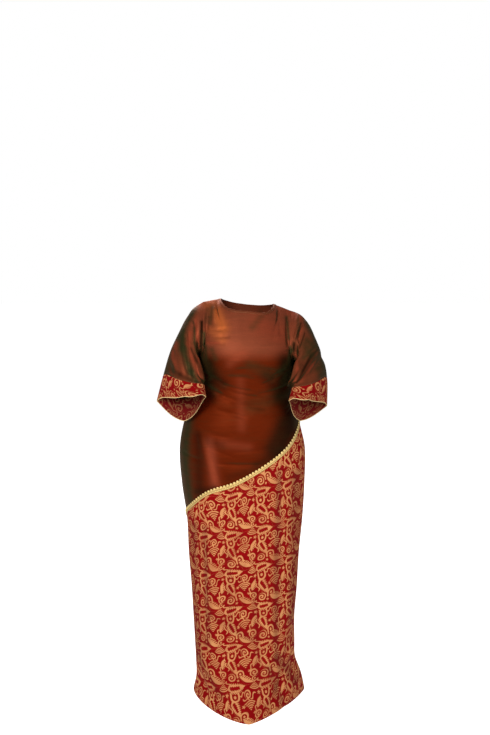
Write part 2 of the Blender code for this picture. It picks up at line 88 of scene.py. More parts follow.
# Level sections of the body tube: its sides, its depth before and behind the side seams, how square
# the front half is (2 is an ellipse, less is pointed as over the toes, more is boxy), and how much
# squarer its left side is than its right
TRUNK_COLUMNS = ("height", "left", "right", "front", "back", "square", "lean")
TRUNK_SECTIONS = (
    (0.000, -0.191, 0.213, 0.242, 0.172, 1.38, 0.13),
    (0.050, -0.181, 0.203, 0.203, 0.155, 1.60, 0.09),
    (0.120, -0.181, 0.179, 0.166, 0.138, 2.02, 0.05),
    (0.200, -0.184, 0.175, 0.148, 0.128, 2.40, 0.00),
    (0.300, -0.189, 0.175, 0.141, 0.124, 2.55, 0.00),
    (0.400, -0.194, 0.182, 0.141, 0.126, 2.55, 0.00),
    (0.520, -0.203, 0.188, 0.145, 0.133, 2.50, 0.00),
    (0.655, -0.209, 0.200, 0.150, 0.145, 2.40, 0.00),
    (0.770, -0.225, 0.206, 0.153, 0.158, 2.30, 0.00),
    (0.890, -0.232, 0.207, 0.153, 0.164, 2.25, 0.00),
    (0.985, -0.217, 0.187, 0.150, 0.142, 2.20, 0.00),
    (1.080, -0.185, 0.165, 0.137, 0.110, 2.15, 0.00),
    (1.150, -0.176, 0.167, 0.138, 0.104, 2.20, 0.00),
    (1.215, -0.173, 0.171, 0.152, 0.110, 2.35, 0.00),
    (1.270, -0.170, 0.170, 0.142, 0.116, 2.30, 0.00),
)
BACK_SQUARE = 2.15

# The top edge of half a panel, from its middle to the underarm. share is the place among the
# panel's columns, and the last three give the way in which the cloth climbs to meet the edge.
# The neckline, the shoulder seam and the armhole are three stretches with corners between them.
EDGE_COLUMNS = ("share", "x", "y", "height", "go_x", "go_y", "go_up")
FRONT_NECKLINE = (
    (0.00, 0.0000, -0.0900, 1.3755, 0.00, 0.45, 0.90),
    (0.13, 0.0450, -0.0850, 1.3750, -0.15, 0.50, 0.85),
    (0.22, 0.0720, -0.0640, 1.3810, -0.45, 0.50, 0.70),
    (0.29, 0.0870, -0.0280, 1.3940, -0.75, 0.50, 0.45),
    (0.36, 0.0925, 0.0200, 1.4045, -0.75, 0.65, 0.25),
)
FRONT_SHOULDER = (
    (0.36, 0.0925, 0.0200, 1.4045, -0.75, 0.65, 0.25),
    (0.44, 0.1120, 0.0173, 1.4000, -0.20, 0.95, 0.25),
    (0.60, 0.1500, 0.0120, 1.3890, 0.45, 0.85, 0.15),
)
FRONT_ARMHOLE = (
    (0.60, 0.1500, 0.0120, 1.3890, 0.45, 0.85, 0.15),
    (0.70, 0.1495, -0.0480, 1.3480, 0.70, 0.45, 0.50),
    (0.80, 0.1480, -0.0830, 1.2850, 0.80, 0.05, 0.55),
    (0.91, 0.1570, -0.0720, 1.2300, 0.62, 0.30, 0.62),
    (1.00, 0.1760, 0.0000, 1.2000, 0.00, 0.00, 1.00),
)
BACK_NECKLINE = (
    (0.00, 0.0000, 0.0880, 1.3890, 0.00, -0.45, 0.90),
    (0.16, 0.0520, 0.0790, 1.3920, -0.30, -0.50, 0.80),
    (0.27, 0.0830, 0.0520, 1.3990, -0.70, -0.50, 0.50),
    (0.36, 0.0925, 0.0200, 1.4045, -0.75, -0.65, 0.25),
)
BACK_SHOULDER = (
    (0.36, 0.0925, 0.0200, 1.4045, -0.75, -0.65, 0.25),
    (0.44, 0.1120, 0.0173, 1.4000, -0.20, -0.95, 0.25),
    (0.60, 0.1500, 0.0120, 1.3890, 0.45, -0.85, 0.15),
)
BACK_ARMHOLE = (
    (0.60, 0.1500, 0.0120, 1.3890, 0.45, -0.85, 0.15),
    (0.70, 0.1500, 0.0660, 1.3480, 0.70, -0.45, 0.50),
    (0.80, 0.1500, 0.0900, 1.2850, 0.80, -0.05, 0.55),
    (0.91, 0.1580, 0.0700, 1.2300, 0.62, -0.30, 0.62),
    (1.00, 0.1760, 0.0000, 1.2000, 0.00, 0.00, 1.00),
)
ARRIVING_PULL = 0.75
FRONT_EDGE = (FRONT_NECKLINE, FRONT_SHOULDER, FRONT_ARMHOLE)
BACK_EDGE = (BACK_NECKLINE, BACK_SHOULDER, BACK_ARMHOLE)

# How the columns spread round the body below (1 is a side seam), and the height at which each
# leaves the level sections and heads for the top edge
LEAVE_COLUMNS = ("share", "spread", "height")
LEAVE_PLACES = (
    (0.00, 0.00, 1.250),
    (0.36, 0.32, 1.250),
    (0.60, 0.53, 1.235),
    (0.80, 0.68, 1.190),
    (0.91, 0.83, 1.160),
    (1.00, 1.00, 1.140),
)

# The stance: the shoulders sit a little to the right and fall towards that side
STANCE_SHIFT = 0.0045
STANCE_SLOPE = 0.103
STANCE_FROM, STANCE_TO = 1.08, 1.30

# Sections of each sleeve after the armhole, as the four points where its outer, front, inner and
# back lines cross them. place is how far down the sleeve the section lies, and taut is how straight
# the cloth runs between the four points.
SLEEVE_COLUMNS = ("place", "taut", "outer", "front", "inner", "back")
LEFT_SLEEVE = (
    (0.08, 0.00,
     (-0.178, 0.008, 1.384), (-0.160, -0.087, 1.298), (-0.185, -0.018, 1.195), (-0.161, 0.089, 1.298)),
    (0.20, 0.00,
     (-0.201, 0.002, 1.353), (-0.176, -0.102, 1.274), (-0.160, -0.102, 1.154), (-0.197, 0.076, 1.280)),
    (0.48, 0.00,
     (-0.257, -0.008, 1.243), (-0.214, -0.128, 1.206), (-0.144, -0.122, 1.140), (-0.226, 0.040, 1.152)),
    (0.76, 0.15,
     (-0.286, -0.022, 1.150), (-0.204, -0.150, 1.150), (-0.137, -0.130, 1.127), (-0.235, -0.020, 1.070)),
    (1.00, 0.50,
     (-0.308, -0.036, 1.064), (-0.200, -0.205, 1.108), (-0.129, -0.195, 1.104), (-0.210, -0.080, 1.002)),
)
RIGHT_SLEEVE = (
    (0.08, 0.00,
     (0.183, 0.008, 1.362), (0.166, -0.087, 1.270), (0.190, -0.018, 1.175), (0.167, 0.089, 1.270)),
    (0.20, 0.00,
     (0.208, 0.002, 1.337), (0.176, -0.102, 1.256), (0.159, -0.104, 1.142), (0.201, 0.076, 1.264)),
    (0.48, 0.00,
     (0.257, -0.008, 1.236), (0.212, -0.128, 1.196), (0.146, -0.122, 1.130), (0.222, 0.040, 1.147)),
    (0.76, 0.15,
     (0.280, -0.022, 1.142), (0.212, -0.150, 1.139), (0.150, -0.128, 1.118), (0.224, -0.018, 1.064)),
    (1.00, 0.50,
     (0.280, -0.036, 1.047), (0.203, -0.205, 1.097), (0.138, -0.195, 1.092), (0.184, -0.081, 1.003)),
)
BAND_PLACE = 0.76

# The largest folds, each a straight run seen from the front or the back, from its start to its end,
# with the width and depth of its trough (a minus depth makes a ridge)
FOLD_COLUMNS = ("x0", "height0", "x1", "height1", "width", "depth")
FRONT_FOLDS = (
    (-0.150, 1.110, 0.050, 1.085, 0.020, 0.0040),
    (-0.040, 1.060, 0.140, 1.075, 0.016, 0.0035),
    (-0.150, 1.020, 0.020, 1.045, 0.018, 0.0030),
    (-0.060, 0.868, 0.100, 0.862, 0.018, 0.0035),
    (0.178, 0.150, 0.085, 0.030, 0.022, 0.0090),
    (0.190, 0.300, 0.130, 0.160, 0.024, 0.0060),
    (-0.182, 0.085, -0.105, 0.020, 0.018, 0.0070),
    (-0.150, 0.560, -0.148, 0.250, 0.022, 0.0045),
    (0.128, 0.620, 0.120, 0.240, 0.022, 0.0050),
)
BACK_FOLDS = (
    (-0.120, 1.110, 0.120, 1.090, 0.020, 0.0050),
    (-0.150, 1.040, 0.060, 1.062, 0.018, 0.0040),
    (-0.090, 0.700, -0.110, 0.100, 0.028, 0.0070),
    (0.030, 0.640, 0.040, 0.060, 0.030, 0.0080),
    (0.135, 0.600, 0.150, 0.140, 0.024, 0.0060),
)
LEFT_SLEEVE_FOLDS = (
    (-0.184, 1.340, -0.168, 1.225, 0.013, 0.0075),
    (-0.205, 1.300, -0.183, 1.180, 0.013, 0.0060),
    (-0.238, 1.240, -0.172, 1.130, 0.016, 0.0060),
    (-0.262, 1.190, -0.200, 1.120, 0.014, 0.0040),
)
RIGHT_SLEEVE_FOLDS = (
    (0.186, 1.320, 0.170, 1.215, 0.013, 0.0075),
    (0.212, 1.290, 0.186, 1.200, 0.013, 0.0060),
    (0.262, 1.222, 0.168, 1.120, 0.016, 0.0075),
    (0.268, 1.150, 0.205, 1.110, 0.014, 0.0040),
)

# The smaller creases, each seen from the front: a run from start to end, how far its middle bows
# to the side, its width and its depth (a minus depth makes a ridge). Those behind the sleeves are
# given for the right one and mirrored on the left.
CREASE_COLUMNS = ("x0", "height0", "x1", "height1", "bow", "width", "depth")
BODICE_FRONT_CREASES = (
    (-0.133, 1.361, -0.133, 1.315, 0.000, 0.0050, 0.0030),
    (-0.123, 1.391, -0.116, 1.321, 0.002, 0.0060, 0.0028),
    (-0.109, 1.388, -0.105, 1.341, 0.000, 0.0050, -0.0020),
    (-0.132, 1.314, -0.066, 1.320, 0.002, 0.0050, 0.0018),
    (-0.135, 1.294, -0.056, 1.297, 0.002, 0.0060, 0.0020),
    (-0.132, 1.274, -0.073, 1.271, -0.001, 0.0050, 0.0016),
    (0.109, 1.376, 0.116, 1.296, 0.000, 0.0060, 0.0026),
    (0.140, 1.374, 0.142, 1.260, 0.002, 0.0060, 0.0030),
    (-0.030, 1.186, 0.096, 1.180, -0.006, 0.0080, 0.0018),
    (-0.060, 1.160, 0.030, 1.150, -0.004, 0.0070, 0.0016),
    (-0.080, 1.137, 0.020, 1.114, 0.004, 0.0060, 0.0030),
    (-0.060, 1.117, 0.053, 1.090, 0.003, 0.0060, 0.0026),
    (-0.106, 1.111, -0.020, 1.077, 0.003, 0.0070, 0.0024),
    (0.053, 1.136, 0.126, 1.170, 0.003, 0.0060, 0.0020),
    (0.040, 1.102, 0.140, 1.126, 0.003, 0.0060, 0.0022),
    (-0.144, 1.174, -0.080, 1.143, 0.003, 0.0060, 0.0022),
    (-0.141, 1.133, -0.084, 1.099, 0.003, 0.0060, 0.0022),
    (0.154, 1.187, 0.087, 1.160, 0.003, 0.0060, 0.0020),
    (-0.047, 1.070, 0.067, 1.053, -0.003, 0.0070, 0.0018),
    (-0.100, 1.050, 0.000, 1.023, -0.003, 0.0070, 0.0018),
    (0.060, 1.030, 0.150, 1.052, 0.004, 0.0070, 0.0016),
    (-0.150, 0.985, -0.060, 0.960, 0.003, 0.0080, 0.0014),
    (-0.094, 0.870, 0.053, 0.868, 0.002, 0.0050, 0.0030),
    (-0.047, 0.911, 0.073, 0.921, 0.002, 0.0060, 0.0016),
    (-0.130, 0.927, -0.033, 0.892, 0.002, 0.0060, 0.0014),
    (-0.157, 0.969, -0.098, 0.783, 0.004, 0.0100, -0.0030),
    (-0.134, 0.948, -0.081, 0.797, 0.004, 0.0080, 0.0018),
    (-0.214, 0.896, -0.159, 0.878, 0.002, 0.0060, 0.0016),
    (0.181, 1.055, 0.137, 1.031, 0.002, 0.0060, 0.0016),
)
BODICE_BACK_CREASES = (
    (-0.120, 1.362, -0.112, 1.290, 0.002, 0.0060, 0.0026),
    (0.128, 1.350, 0.120, 1.270, -0.002, 0.0060, 0.0028),
    (-0.085, 1.330, 0.020, 1.322, -0.004, 0.0070, 0.0018),
    (0.000, 1.290, 0.110, 1.298, 0.003, 0.0070, 0.0016),
    (-0.130, 1.215, -0.030, 1.188, 0.004, 0.0070, 0.0022),
    (0.130, 1.205, 0.020, 1.176, -0.004, 0.0070, 0.0024),
    (-0.060, 1.160, 0.080, 1.156, -0.007, 0.0065, 0.0030),
    (-0.090, 1.135, 0.040, 1.128, -0.005, 0.0065, 0.0026),
    (-0.030, 1.108, 0.120, 1.114, 0.004, 0.0065, 0.0028),
    (-0.135, 1.084, -0.010, 1.066, 0.003, 0.0070, 0.0024),
    (0.010, 1.060, 0.140, 1.050, 0.003, 0.0070, 0.0020),
    (-0.110, 1.036, 0.030, 1.030, -0.004, 0.0080, 0.0018),
    (-0.150, 0.960, -0.070, 0.934, 0.003, 0.0080, 0.0014),
    (0.160, 0.930, 0.080, 0.905, -0.003, 0.0080, 0.0014),
    (0.095, 1.000, 0.075, 0.900, 0.004, 0.0110, -0.0024),
)
LEFT_SLEEVE_CREASES = (
    (-0.171, 1.376, -0.137, 1.133, 0.006, 0.0080, 0.0032),
    (-0.188, 1.363, -0.156, 1.149, 0.006, 0.0080, 0.0028),
    (-0.205, 1.339, -0.180, 1.155, 0.005, 0.0060, 0.0030),
    (-0.226, 1.301, -0.201, 1.167, 0.004, 0.0060, 0.0026),
    (-0.248, 1.247, -0.222, 1.176, 0.003, 0.0060, 0.0018),
    (-0.181, 1.317, -0.146, 1.141, 0.006, 0.0060, -0.0026),
    (-0.262, 1.205, -0.246, 1.165, 0.002, 0.0060, 0.0014),
)
RIGHT_SLEEVE_CREASES = (
    (0.232, 1.253, 0.164, 1.158, 0.004, 0.0070, 0.0046),
    (0.242, 1.223, 0.178, 1.148, 0.004, 0.0060, 0.0030),
    (0.179, 1.349, 0.140, 1.242, 0.004, 0.0060, 0.0040),
    (0.199, 1.329, 0.153, 1.209, 0.004, 0.0060, 0.0034),
    (0.218, 1.280, 0.146, 1.176, 0.004, 0.0070, -0.0030),
    (0.254, 1.194, 0.201, 1.143, 0.003, 0.0060, 0.0020),
    (0.169, 1.361, 0.153, 1.295, 0.002, 0.0050, 0.0024),
)
SLEEVE_BACK_CREASES = (
    (0.186, 1.330, 0.200, 1.215, 0.004, 0.0070, 0.0034),
    (0.212, 1.300, 0.214, 1.180, 0.004, 0.0070, 0.0030),
    (0.238, 1.250, 0.206, 1.130, 0.005, 0.0080, 0.0036),
    (0.176, 1.290, 0.232, 1.110, 0.006, 0.0080, 0.0040),
    (0.250, 1.190, 0.226, 1.095, 0.004, 0.0080, 0.0024),
)
SKIRT_FRONT_CREASES = (
    (0.121, 0.169, 0.136, 0.037, 0.003, 0.0100, 0.0045),
    (0.154, 0.194, 0.116, 0.046, 0.005, 0.0120, 0.0045),
    (0.176, 0.118, 0.131, -0.002, 0.004, 0.0100, 0.0040),
    (-0.129, 0.095, -0.104, 0.048, 0.002, 0.0080, 0.0035),
    (-0.169, 0.129, -0.138, 0.017, 0.003, 0.0100, 0.0040),
    (-0.163, 0.240, -0.083, 0.138, 0.006, 0.0140, 0.0036),
    (0.159, 0.284, 0.056, 0.182, 0.006, 0.0140, 0.0030),
    (-0.150, 0.620, -0.138, 0.231, 0.004, 0.0130, 0.0045),
    (0.118, 0.800, 0.110, 0.180, 0.005, 0.0130, 0.0050),
    (-0.067, 0.609, -0.059, 0.073, 0.006, 0.0180, 0.0030),
    (0.054, 0.543, 0.038, 0.042, 0.006, 0.0180, 0.0030),
    (-0.186, 0.656, -0.161, 0.368, 0.004, 0.0120, 0.0022),
    (0.175, 0.833, 0.156, 0.513, 0.004, 0.0120, 0.0022),
)
SKIRT_BACK_CREASES = (
    (-0.140, 0.620, -0.150, 0.180, 0.006, 0.0140, 0.0035),
    (-0.050, 0.560, -0.060, 0.040, 0.007, 0.0160, 0.0035),
    (0.090, 0.700, 0.085, 0.090, 0.006, 0.0160, 0.0035),
    (0.165, 0.780, 0.150, 0.330, 0.004, 0.0120, 0.0026),
    (0.120, 0.210, 0.150, 0.020, 0.004, 0.0110, 0.0045),
    (-0.110, 0.180, -0.085, 0.010, 0.004, 0.0110, 0.0045),
    (-0.165, 0.120, -0.140, 0.006, 0.003, 0.0100, 0.0040),
    (-0.040, 0.330, 0.070, 0.250, 0.007, 0.0150, 0.0026),
)

# The darts, in the same columns: one from each side seam to the bust, and one down each side of
# the back's waist
BUST_DARTS = (
    (-0.166, 1.262, -0.108, 1.258, 0.000, 0.0024, 0.0019),
    (0.166, 1.247, 0.110, 1.242, 0.000, 0.0024, 0.0019),
)
BACK_DARTS = (
    (-0.075, 1.200, -0.078, 1.020, 0.001, 0.0022, 0.0014),
    (0.075, 1.190, 0.078, 1.020, 0.001, 0.0022, 0.0014),
)

# Seams, and how thick the shown cloth is
SEAM_GROOVE = 0.0009
SEAM_WIDTH = 0.0028
SHOWN_WALL = 0.0009

# How near to the side seams, the top edge and a sleeve's ends the large folds die out, as shares
# of the piece, and how near the smaller creases do
SIDE_CALM = 0.10
TOP_CALM = 0.21
SLEEVE_CALM = 0.17
CREASE_SIDE_CALM = 0.05
CREASE_TOP_CALM = 0.08
CREASE_SLEEVE_CALM = 0.06
CREASE_CUFF_CALM = 1.4
CREASE_SLANT_CALM = 0.022

# How fast a fold fades at its own ends, and how far a sleeve's cloth has to turn to the front or
# the back for that side's creases to be whole
FOLD_FADE = 4
SLEEVE_TURN = 0.5

# Colours. After the plain copper, the taffeta's colours are painted light and shade: orange and rose
# highlights, ember and a darker sleeve copper as painted shade lower down, and umber and olive shade
COPPER = (0.200, 0.043, 0.019, 1.0)
SLEEVE_COPPER_SHADE = (0.146, 0.034, 0.0135, 1.0)
ORANGE_HIGHLIGHT = (0.470, 0.108, 0.027, 1.0)
ROSE_HIGHLIGHT = (0.255, 0.043, 0.018, 1.0)
EMBER_SHADE = (0.104, 0.0095, 0.0008, 1.0)
UMBER_SHADE = (0.012, 0.0040, 0.0012, 1.0)
OLIVE_SHADE = (0.026, 0.025, 0.008, 1.0)
PRINT_RED = (0.300, 0.0008, 0.0018, 1.0)
PRINT_DEEP = (0.170, 0.0006, 0.0015, 1.0)
PRINT_GOLD = (0.680, 0.335, 0.122, 1.0)
PRINT_TAN = (0.540, 0.180, 0.070, 1.0)
PRINT_SHADE = (0.085, 0.008, 0.007, 1.0)
THREAD = (0.300, 0.120, 0.050, 1.0)
THREAD_PALE = (0.620, 0.400, 0.190, 1.0)
EDGE_GOLD = (0.700, 0.480, 0.220, 1.0)
# The braid's gold: lit on its cords, and painted shade between them
GOLD_LIT = (0.860, 0.640, 0.250, 1.0)
GOLD_SHADE = (0.300, 0.150, 0.025, 1.0)
THREAD_SHADE = 0.6

# Surface values, by the names of the shader's sockets
TAFFETA_SURFACE = {
    "Roughness": 0.52,
    "Metallic": 0.35,
    "Specular Tint": (1.0, 0.50, 0.25, 1.0),
    "Specular IOR Level": 0.12,
    "Sheen Weight": 0.04,
    "Sheen Roughness": 0.35,
    "Sheen Tint": (0.35, 0.42, 0.16, 1.0),
}
PRINT_SURFACE = {"Roughness": 0.85, "Metallic": 0.0, "Specular IOR Level": 0.08}
GOLD_SURFACE = {"Roughness": 0.42, "Metallic": 0.55}
THREAD_SURFACE = {"Roughness": 0.6, "Metallic": 0.0}
FLOOR_SURFACE = {
    "Roughness": 0.9,
    "Metallic": 0.0,
    "Base Color": (0.93, 0.93, 0.93, 1.0),
    "Emission Color": (1.0, 1.0, 1.0, 1.0),
}

# Painted shade and sheen: the taffeta is painted olive where it faces the side or down, away from the
# front and the light: how much each way of facing counts, where the turn starts, how soft it is and how
# far it goes, and the slow ripples that make it uneven
FACING_FRONT, FACING_UP, FACING_DOWN = 0.9, 0.75, 0.43
TURN_START = 0.80
TURN_SOFTNESS = 0.34
TURN_MOST = 0.85
RIPPLE_REACH = 0.05
RIPPLE_COLUMNS = ("by_x", "by_height", "start", "size")
RIPPLES = (
    (41, 17, 0.0, 1.0),
    (-29, 53, 1.3, 1.0),
    (71, 97, 0.4, 0.6),
)

# The taffeta's slubs and its broader unevenness: how often they come across and along the cloth,
# how strongly they change the colour, and their bump's strength and depth
SLUB_PITCH = (14.0, 520.0)
SLUB_COLOUR = 0.35
SLUB_BUMP = (0.5, 0.0004)
BROAD_PITCH = (9.0, 60.0)
BROAD_COLOUR = 0.55
BROAD_BUMP = (0.6, 0.0022)
WEAVE_PITCH = 0.00045
WEAVE_BUMP = (0.25, 0.00008)

# Soft streaks of painted highlights and shade on the taffeta, seen from the front: orange and rose
# highlights, umber and olive shade. Each is a run from start to end, its width and its strength
STREAK_COLUMNS = ("x0", "height0", "x1", "height1", "width", "strength")
ORANGE_HIGHLIGHT_STREAKS = (
    (-0.099, 1.372, -0.079, 1.322, 0.020, 1.00),
    (-0.115, 1.312, -0.079, 1.285, 0.017, 0.45),
    (-0.165, 1.390, -0.112, 1.402, 0.015, 0.50),
)
ROSE_HIGHLIGHT_STREAKS = (
    (-0.235, 1.271, -0.256, 1.226, 0.009, 0.80),
    (0.050, 1.335, 0.112, 1.300, 0.038, 0.70),
    (0.110, 1.388, 0.185, 1.362, 0.014, 0.80),
    (-0.195, 1.372, -0.160, 1.388, 0.012, 0.60),
    (-0.256, 1.221, -0.205, 1.173, 0.010, 0.50),
    (-0.188, 1.303, -0.195, 1.267, 0.007, 0.90),
    (-0.195, 1.267, -0.181, 1.226, 0.007, 0.90),
    (-0.181, 1.226, -0.150, 1.157, 0.007, 0.90),
    (-0.169, 1.355, -0.161, 1.283, 0.004, 0.80),
    (-0.161, 1.283, -0.154, 1.214, 0.004, 0.80),
    (0.193, 1.334, 0.177, 1.283, 0.005, 0.80),
    (0.150, 1.372, 0.196, 1.350, 0.012, 0.50),
    (0.240, 1.235, 0.215, 1.196, 0.010, 0.90),
    (0.215, 1.196, 0.181, 1.154, 0.010, 0.90),
    (0.166, 1.228, 0.169, 1.189, 0.005, 0.80),
    (0.169, 1.189, 0.158, 1.143, 0.005, 0.80),
    (-0.122, 0.940, -0.104, 0.793, 0.017, 0.85),
    (-0.080, 0.940, 0.007, 0.929, 0.016, 0.35),
    (-0.019, 1.151, -0.014, 0.992, 0.016, 0.28),
    (-0.129, 1.272, -0.089, 1.273, 0.004, 0.80),
    (-0.009, 1.238, -0.054, 1.207, 0.016, 0.40),
)
UMBER_SHADE_STREAKS = (
    (-0.149, 1.339, -0.149, 1.308, 0.006, 1.00),
    (-0.149, 1.308, -0.152, 1.258, 0.006, 1.00),
    (0.161, 1.270, 0.159, 1.247, 0.006, 1.00),
    (0.244, 1.247, 0.217, 1.228, 0.004, 0.90),
    (0.217, 1.228, 0.187, 1.182, 0.004, 0.90),
    (0.187, 1.182, 0.167, 1.145, 0.004, 0.90),
    (0.186, 1.334, 0.166, 1.283, 0.004, 0.80),
    (0.198, 1.302, 0.180, 1.256, 0.003, 0.80),
    (-0.183, 1.253, -0.163, 1.212, 0.004, 0.70),
    (-0.264, 1.182, -0.218, 1.169, 0.008, 0.45),
    (-0.218, 1.169, -0.182, 1.155, 0.008, 0.45),
    (-0.115, 1.166, -0.074, 1.136, 0.020, 0.75),
    (-0.122, 1.207, -0.115, 1.100, 0.024, 0.85),
    (0.128, 1.212, 0.118, 1.095, 0.026, 0.90),
    (0.067, 1.166, 0.108, 1.095, 0.022, 0.60),
    (0.139, 1.064, 0.156, 0.992, 0.030, 0.90),
    (0.125, 1.000, 0.085, 0.922, 0.030, 0.75),
    (0.222, 1.226, 0.184, 1.165, 0.015, 0.62),
    (0.156, 0.992, 0.112, 0.912, 0.034, 0.90),
    (0.037, 0.867, 0.119, 0.908, 0.018, 0.60),
    (-0.160, 0.960, -0.156, 0.766, 0.020, 0.60),
    (-0.055, 0.825, 0.017, 0.846, 0.018, 0.35),
    (-0.168, 0.766, -0.106, 0.788, 0.012, 0.60),
    (-0.126, 0.945, -0.080, 0.934, 0.014, 0.35),
)
OLIVE_SHADE_STREAKS = (
    (-0.175, 1.384, -0.232, 1.285, 0.014, 1.00),
    (-0.217, 1.303, -0.211, 1.249, 0.014, 1.00),
    (-0.211, 1.249, -0.182, 1.180, 0.013, 0.95),
    (-0.182, 1.180, -0.159, 1.143, 0.011, 0.90),
    (-0.174, 1.321, -0.172, 1.271, 0.004, 0.80),
    (-0.172, 1.271, -0.163, 1.237, 0.004, 0.80),
    (-0.114, 1.386, -0.122, 1.336, 0.009, 0.62),
    (-0.131, 1.380, -0.136, 1.342, 0.007, 0.35),
    (-0.140, 1.303, -0.141, 1.262, 0.006, 0.90),
    (0.212, 1.334, 0.250, 1.260, 0.017, 1.00),
    (0.250, 1.260, 0.268, 1.201, 0.018, 1.00),
    (0.268, 1.201, 0.273, 1.150, 0.020, 1.00),
    (0.240, 1.187, 0.257, 1.150, 0.014, 0.60),
    (0.196, 1.262, 0.236, 1.214, 0.013, 0.55),
    (0.138, 1.352, 0.143, 1.283, 0.006, 0.80),
    (0.177, 1.357, 0.175, 1.293, 0.006, 0.55),
    (0.202, 1.283, 0.228, 1.256, 0.009, 0.60),
    (0.228, 1.256, 0.192, 1.224, 0.009, 0.60),
    (0.148, 1.256, 0.152, 1.242, 0.006, 0.90),
    (0.148, 1.241, 0.142, 1.196, 0.008, 0.90),
    (-0.136, 1.257, -0.134, 1.212, 0.009, 0.80),
    (-0.114, 1.252, -0.101, 1.221, 0.010, 0.50),
    (-0.117, 1.168, -0.128, 1.139, 0.008, 0.50),
    (0.052, 1.362, 0.021, 1.324, 0.013, 0.40),
    (0.012, 1.202, 0.088, 1.166, 0.020, 0.45),
    (0.020, 1.066, 0.118, 1.086, 0.030, 0.30),
    (-0.197, 1.002, -0.211, 0.887, 0.020, 0.95),
    (-0.211, 0.887, -0.194, 0.729, 0.020, 0.95),
)

# Heights below which painted shade deepens the copper on the bodice and on the sleeves, and how softly
EMBER_TOP, EMBER_FADE = 1.262, 0.055
SLEEVE_TOP, SLEEVE_FADE = 1.34, 0.08

# Where the printed skirt lies in shade along its folds, as streaks of the same columns
SHADE_STREAKS = (
    (0.112, 0.840, 0.106, 0.180, 0.011, 0.42),
    (-0.140, 0.640, -0.134, 0.220, 0.011, 0.38),
    (0.172, 0.820, 0.160, 0.300, 0.016, 0.45),
    (-0.180, 0.640, -0.168, 0.160, 0.018, 0.40),
    (0.106, 0.180, 0.176, 0.060, 0.014, 0.45),
    (0.080, 0.150, 0.118, 0.030, 0.012, 0.40),
    (-0.165, 0.150, -0.090, 0.060, 0.014, 0.35),
    (-0.060, 0.560, -0.050, 0.300, 0.012, 0.18),
    (0.030, 0.420, 0.045, 0.080, 0.012, 0.20),
    (-0.120, 0.330, 0.020, 0.250, 0.014, 0.22),
)

# The print: its repeat, how steeply its rows climb to the right, the bands' edge line, how far and
# how often its lines waver and drift, how often its ink is flecked, rubbed and patchy, and its
# motifs, each with its kind, its place in the repeat, its turn in degrees and its size
PRINT_TILE = (0.113, 0.135)
PRINT_CLIMB = 0.155
EDGE_LINE = 0.0026
WAVER_REACH, WAVER_SCALE, WAVER_DETAIL = 0.0034, 85.0, 2.0
DRIFT_REACH, DRIFT_SCALE, DRIFT_DETAIL = 0.026, 11.0, 1.0
FLECK_SCALE, FLECK_DEPTH, FLECK_LOWEST = 420.0, 0.5, 0.72
RUB_SCALE, RUB_DEPTH, RUB_LOWEST = 14.0, 1.6, 0.14
PATCH_SCALE = 38.0
PRINT_MOTIFS = (
    ("leaf", -0.030, 0.038, 300, 0.057),
    ("leaf", -0.024, -0.034, 8, 0.063),
    ("comb", 0.016, -0.006, 152, 0.055),
    ("comb", 0.048, 0.050, 70, 0.040),
    ("fan", 0.016, 0.044, 95, 0.035),
    ("fan", 0.042, -0.030, 265, 0.030),
    ("curl", -0.036, 0.002, 20, 0.030),
    ("curl", 0.046, 0.012, 200, 0.028),
    ("curl", 0.012, -0.056, 110, 0.027),
    ("arch", -0.004, 0.014, 8, 0.030),
    ("arch", -0.034, -0.062, 184, 0.032),
    ("wave", 0.030, -0.062, 30, 0.028),
    ("wave", -0.052, 0.040, 95, 0.030),
    ("wave", 0.002, 0.066, 160, 0.025),
    ("wave", -0.050, -0.020, 130, 0.025),
    ("wave", 0.034, 0.030, 60, 0.026),
    ("wave", -0.010, -0.052, 20, 0.022),
    ("arch", 0.046, -0.008, 120, 0.020),
    ("star", -0.008, 0.044, 0, 0.012),
    ("star", 0.030, 0.020, 40, 0.010),
    ("star", -0.014, -0.010, 10, 0.010),
    ("star", 0.052, -0.056, 0, 0.012),
)

# The softness of the ink's edges, in metres, and of those measured as shares of a motif
INK_EDGE = 0.0007
SOFT_SHARE = 0.12
COMB_EDGE = 0.10

# The sleeve bands' own repeat, with larger curls
BAND_TILE = (0.098, 0.084)
BAND_MOTIFS = (
    ("curl", -0.024, 0.020, 10, 0.040),
    ("curl", 0.026, -0.018, 190, 0.038),
    ("leaf", 0.026, 0.024, 60, 0.042),
    ("comb", -0.026, -0.022, 330, 0.042),
    ("wave", 0.002, 0.004, 75, 0.036),
    ("wave", 0.000, -0.036, 150, 0.030),
    ("wave", -0.048, 0.000, 100, 0.032),
    ("wave", 0.044, 0.006, 20, 0.022),
    ("arch", 0.004, 0.034, 200, 0.020),
    ("star", -0.004, -0.018, 0, 0.009),
    ("star", -0.046, 0.030, 0, 0.009),
    ("star", 0.046, -0.040, 0, 0.009),
)

# How much painted shade darkens the inner face, the wrong side, of the printed cloth
INNER_PAINTED_SHADE = 0.60

# Where each sleeve laps forward over the body's side: its side, its reach towards the middle and
# forward, the place down the sleeve and the turn round it, in degrees, where that is most, and
# how far each way it goes on. It starts softly at the armhole and fades before the band.
LAP_START = 0.10
LAP_FADE = 0.24
LAP_COLUMNS = ("side", "in", "forward", "place", "spread", "turn", "wide")
SLEEVE_LAPS = (
    (-1, 0.022, 0.014, 0.18, 0.15, 155.0, 40.0),
    (1, 0.012, 0.010, 0.26, 0.17, 155.0, 40.0),
)

# Beads: sides and rings of each, and length, width and rise. A stitch row is counted from the
# skirt's hem or back from the sleeve's end, and lies a share of a stitch's rise off the cloth.
PICOT_FACES = (14, 8)
STITCH_FACES = (8, 5)
STITCH_SIZE = (0.0024, 0.0006, 0.0006)
STITCH_PITCH = 0.0034
STITCH_PROUD = 0.2
HEM_STITCH_ROW = 3
BAND_STITCH_ROW = -3
PICOT_SIZE = (0.0086, 0.0066, 0.0038)
PICOT_PROUD = 0.0014

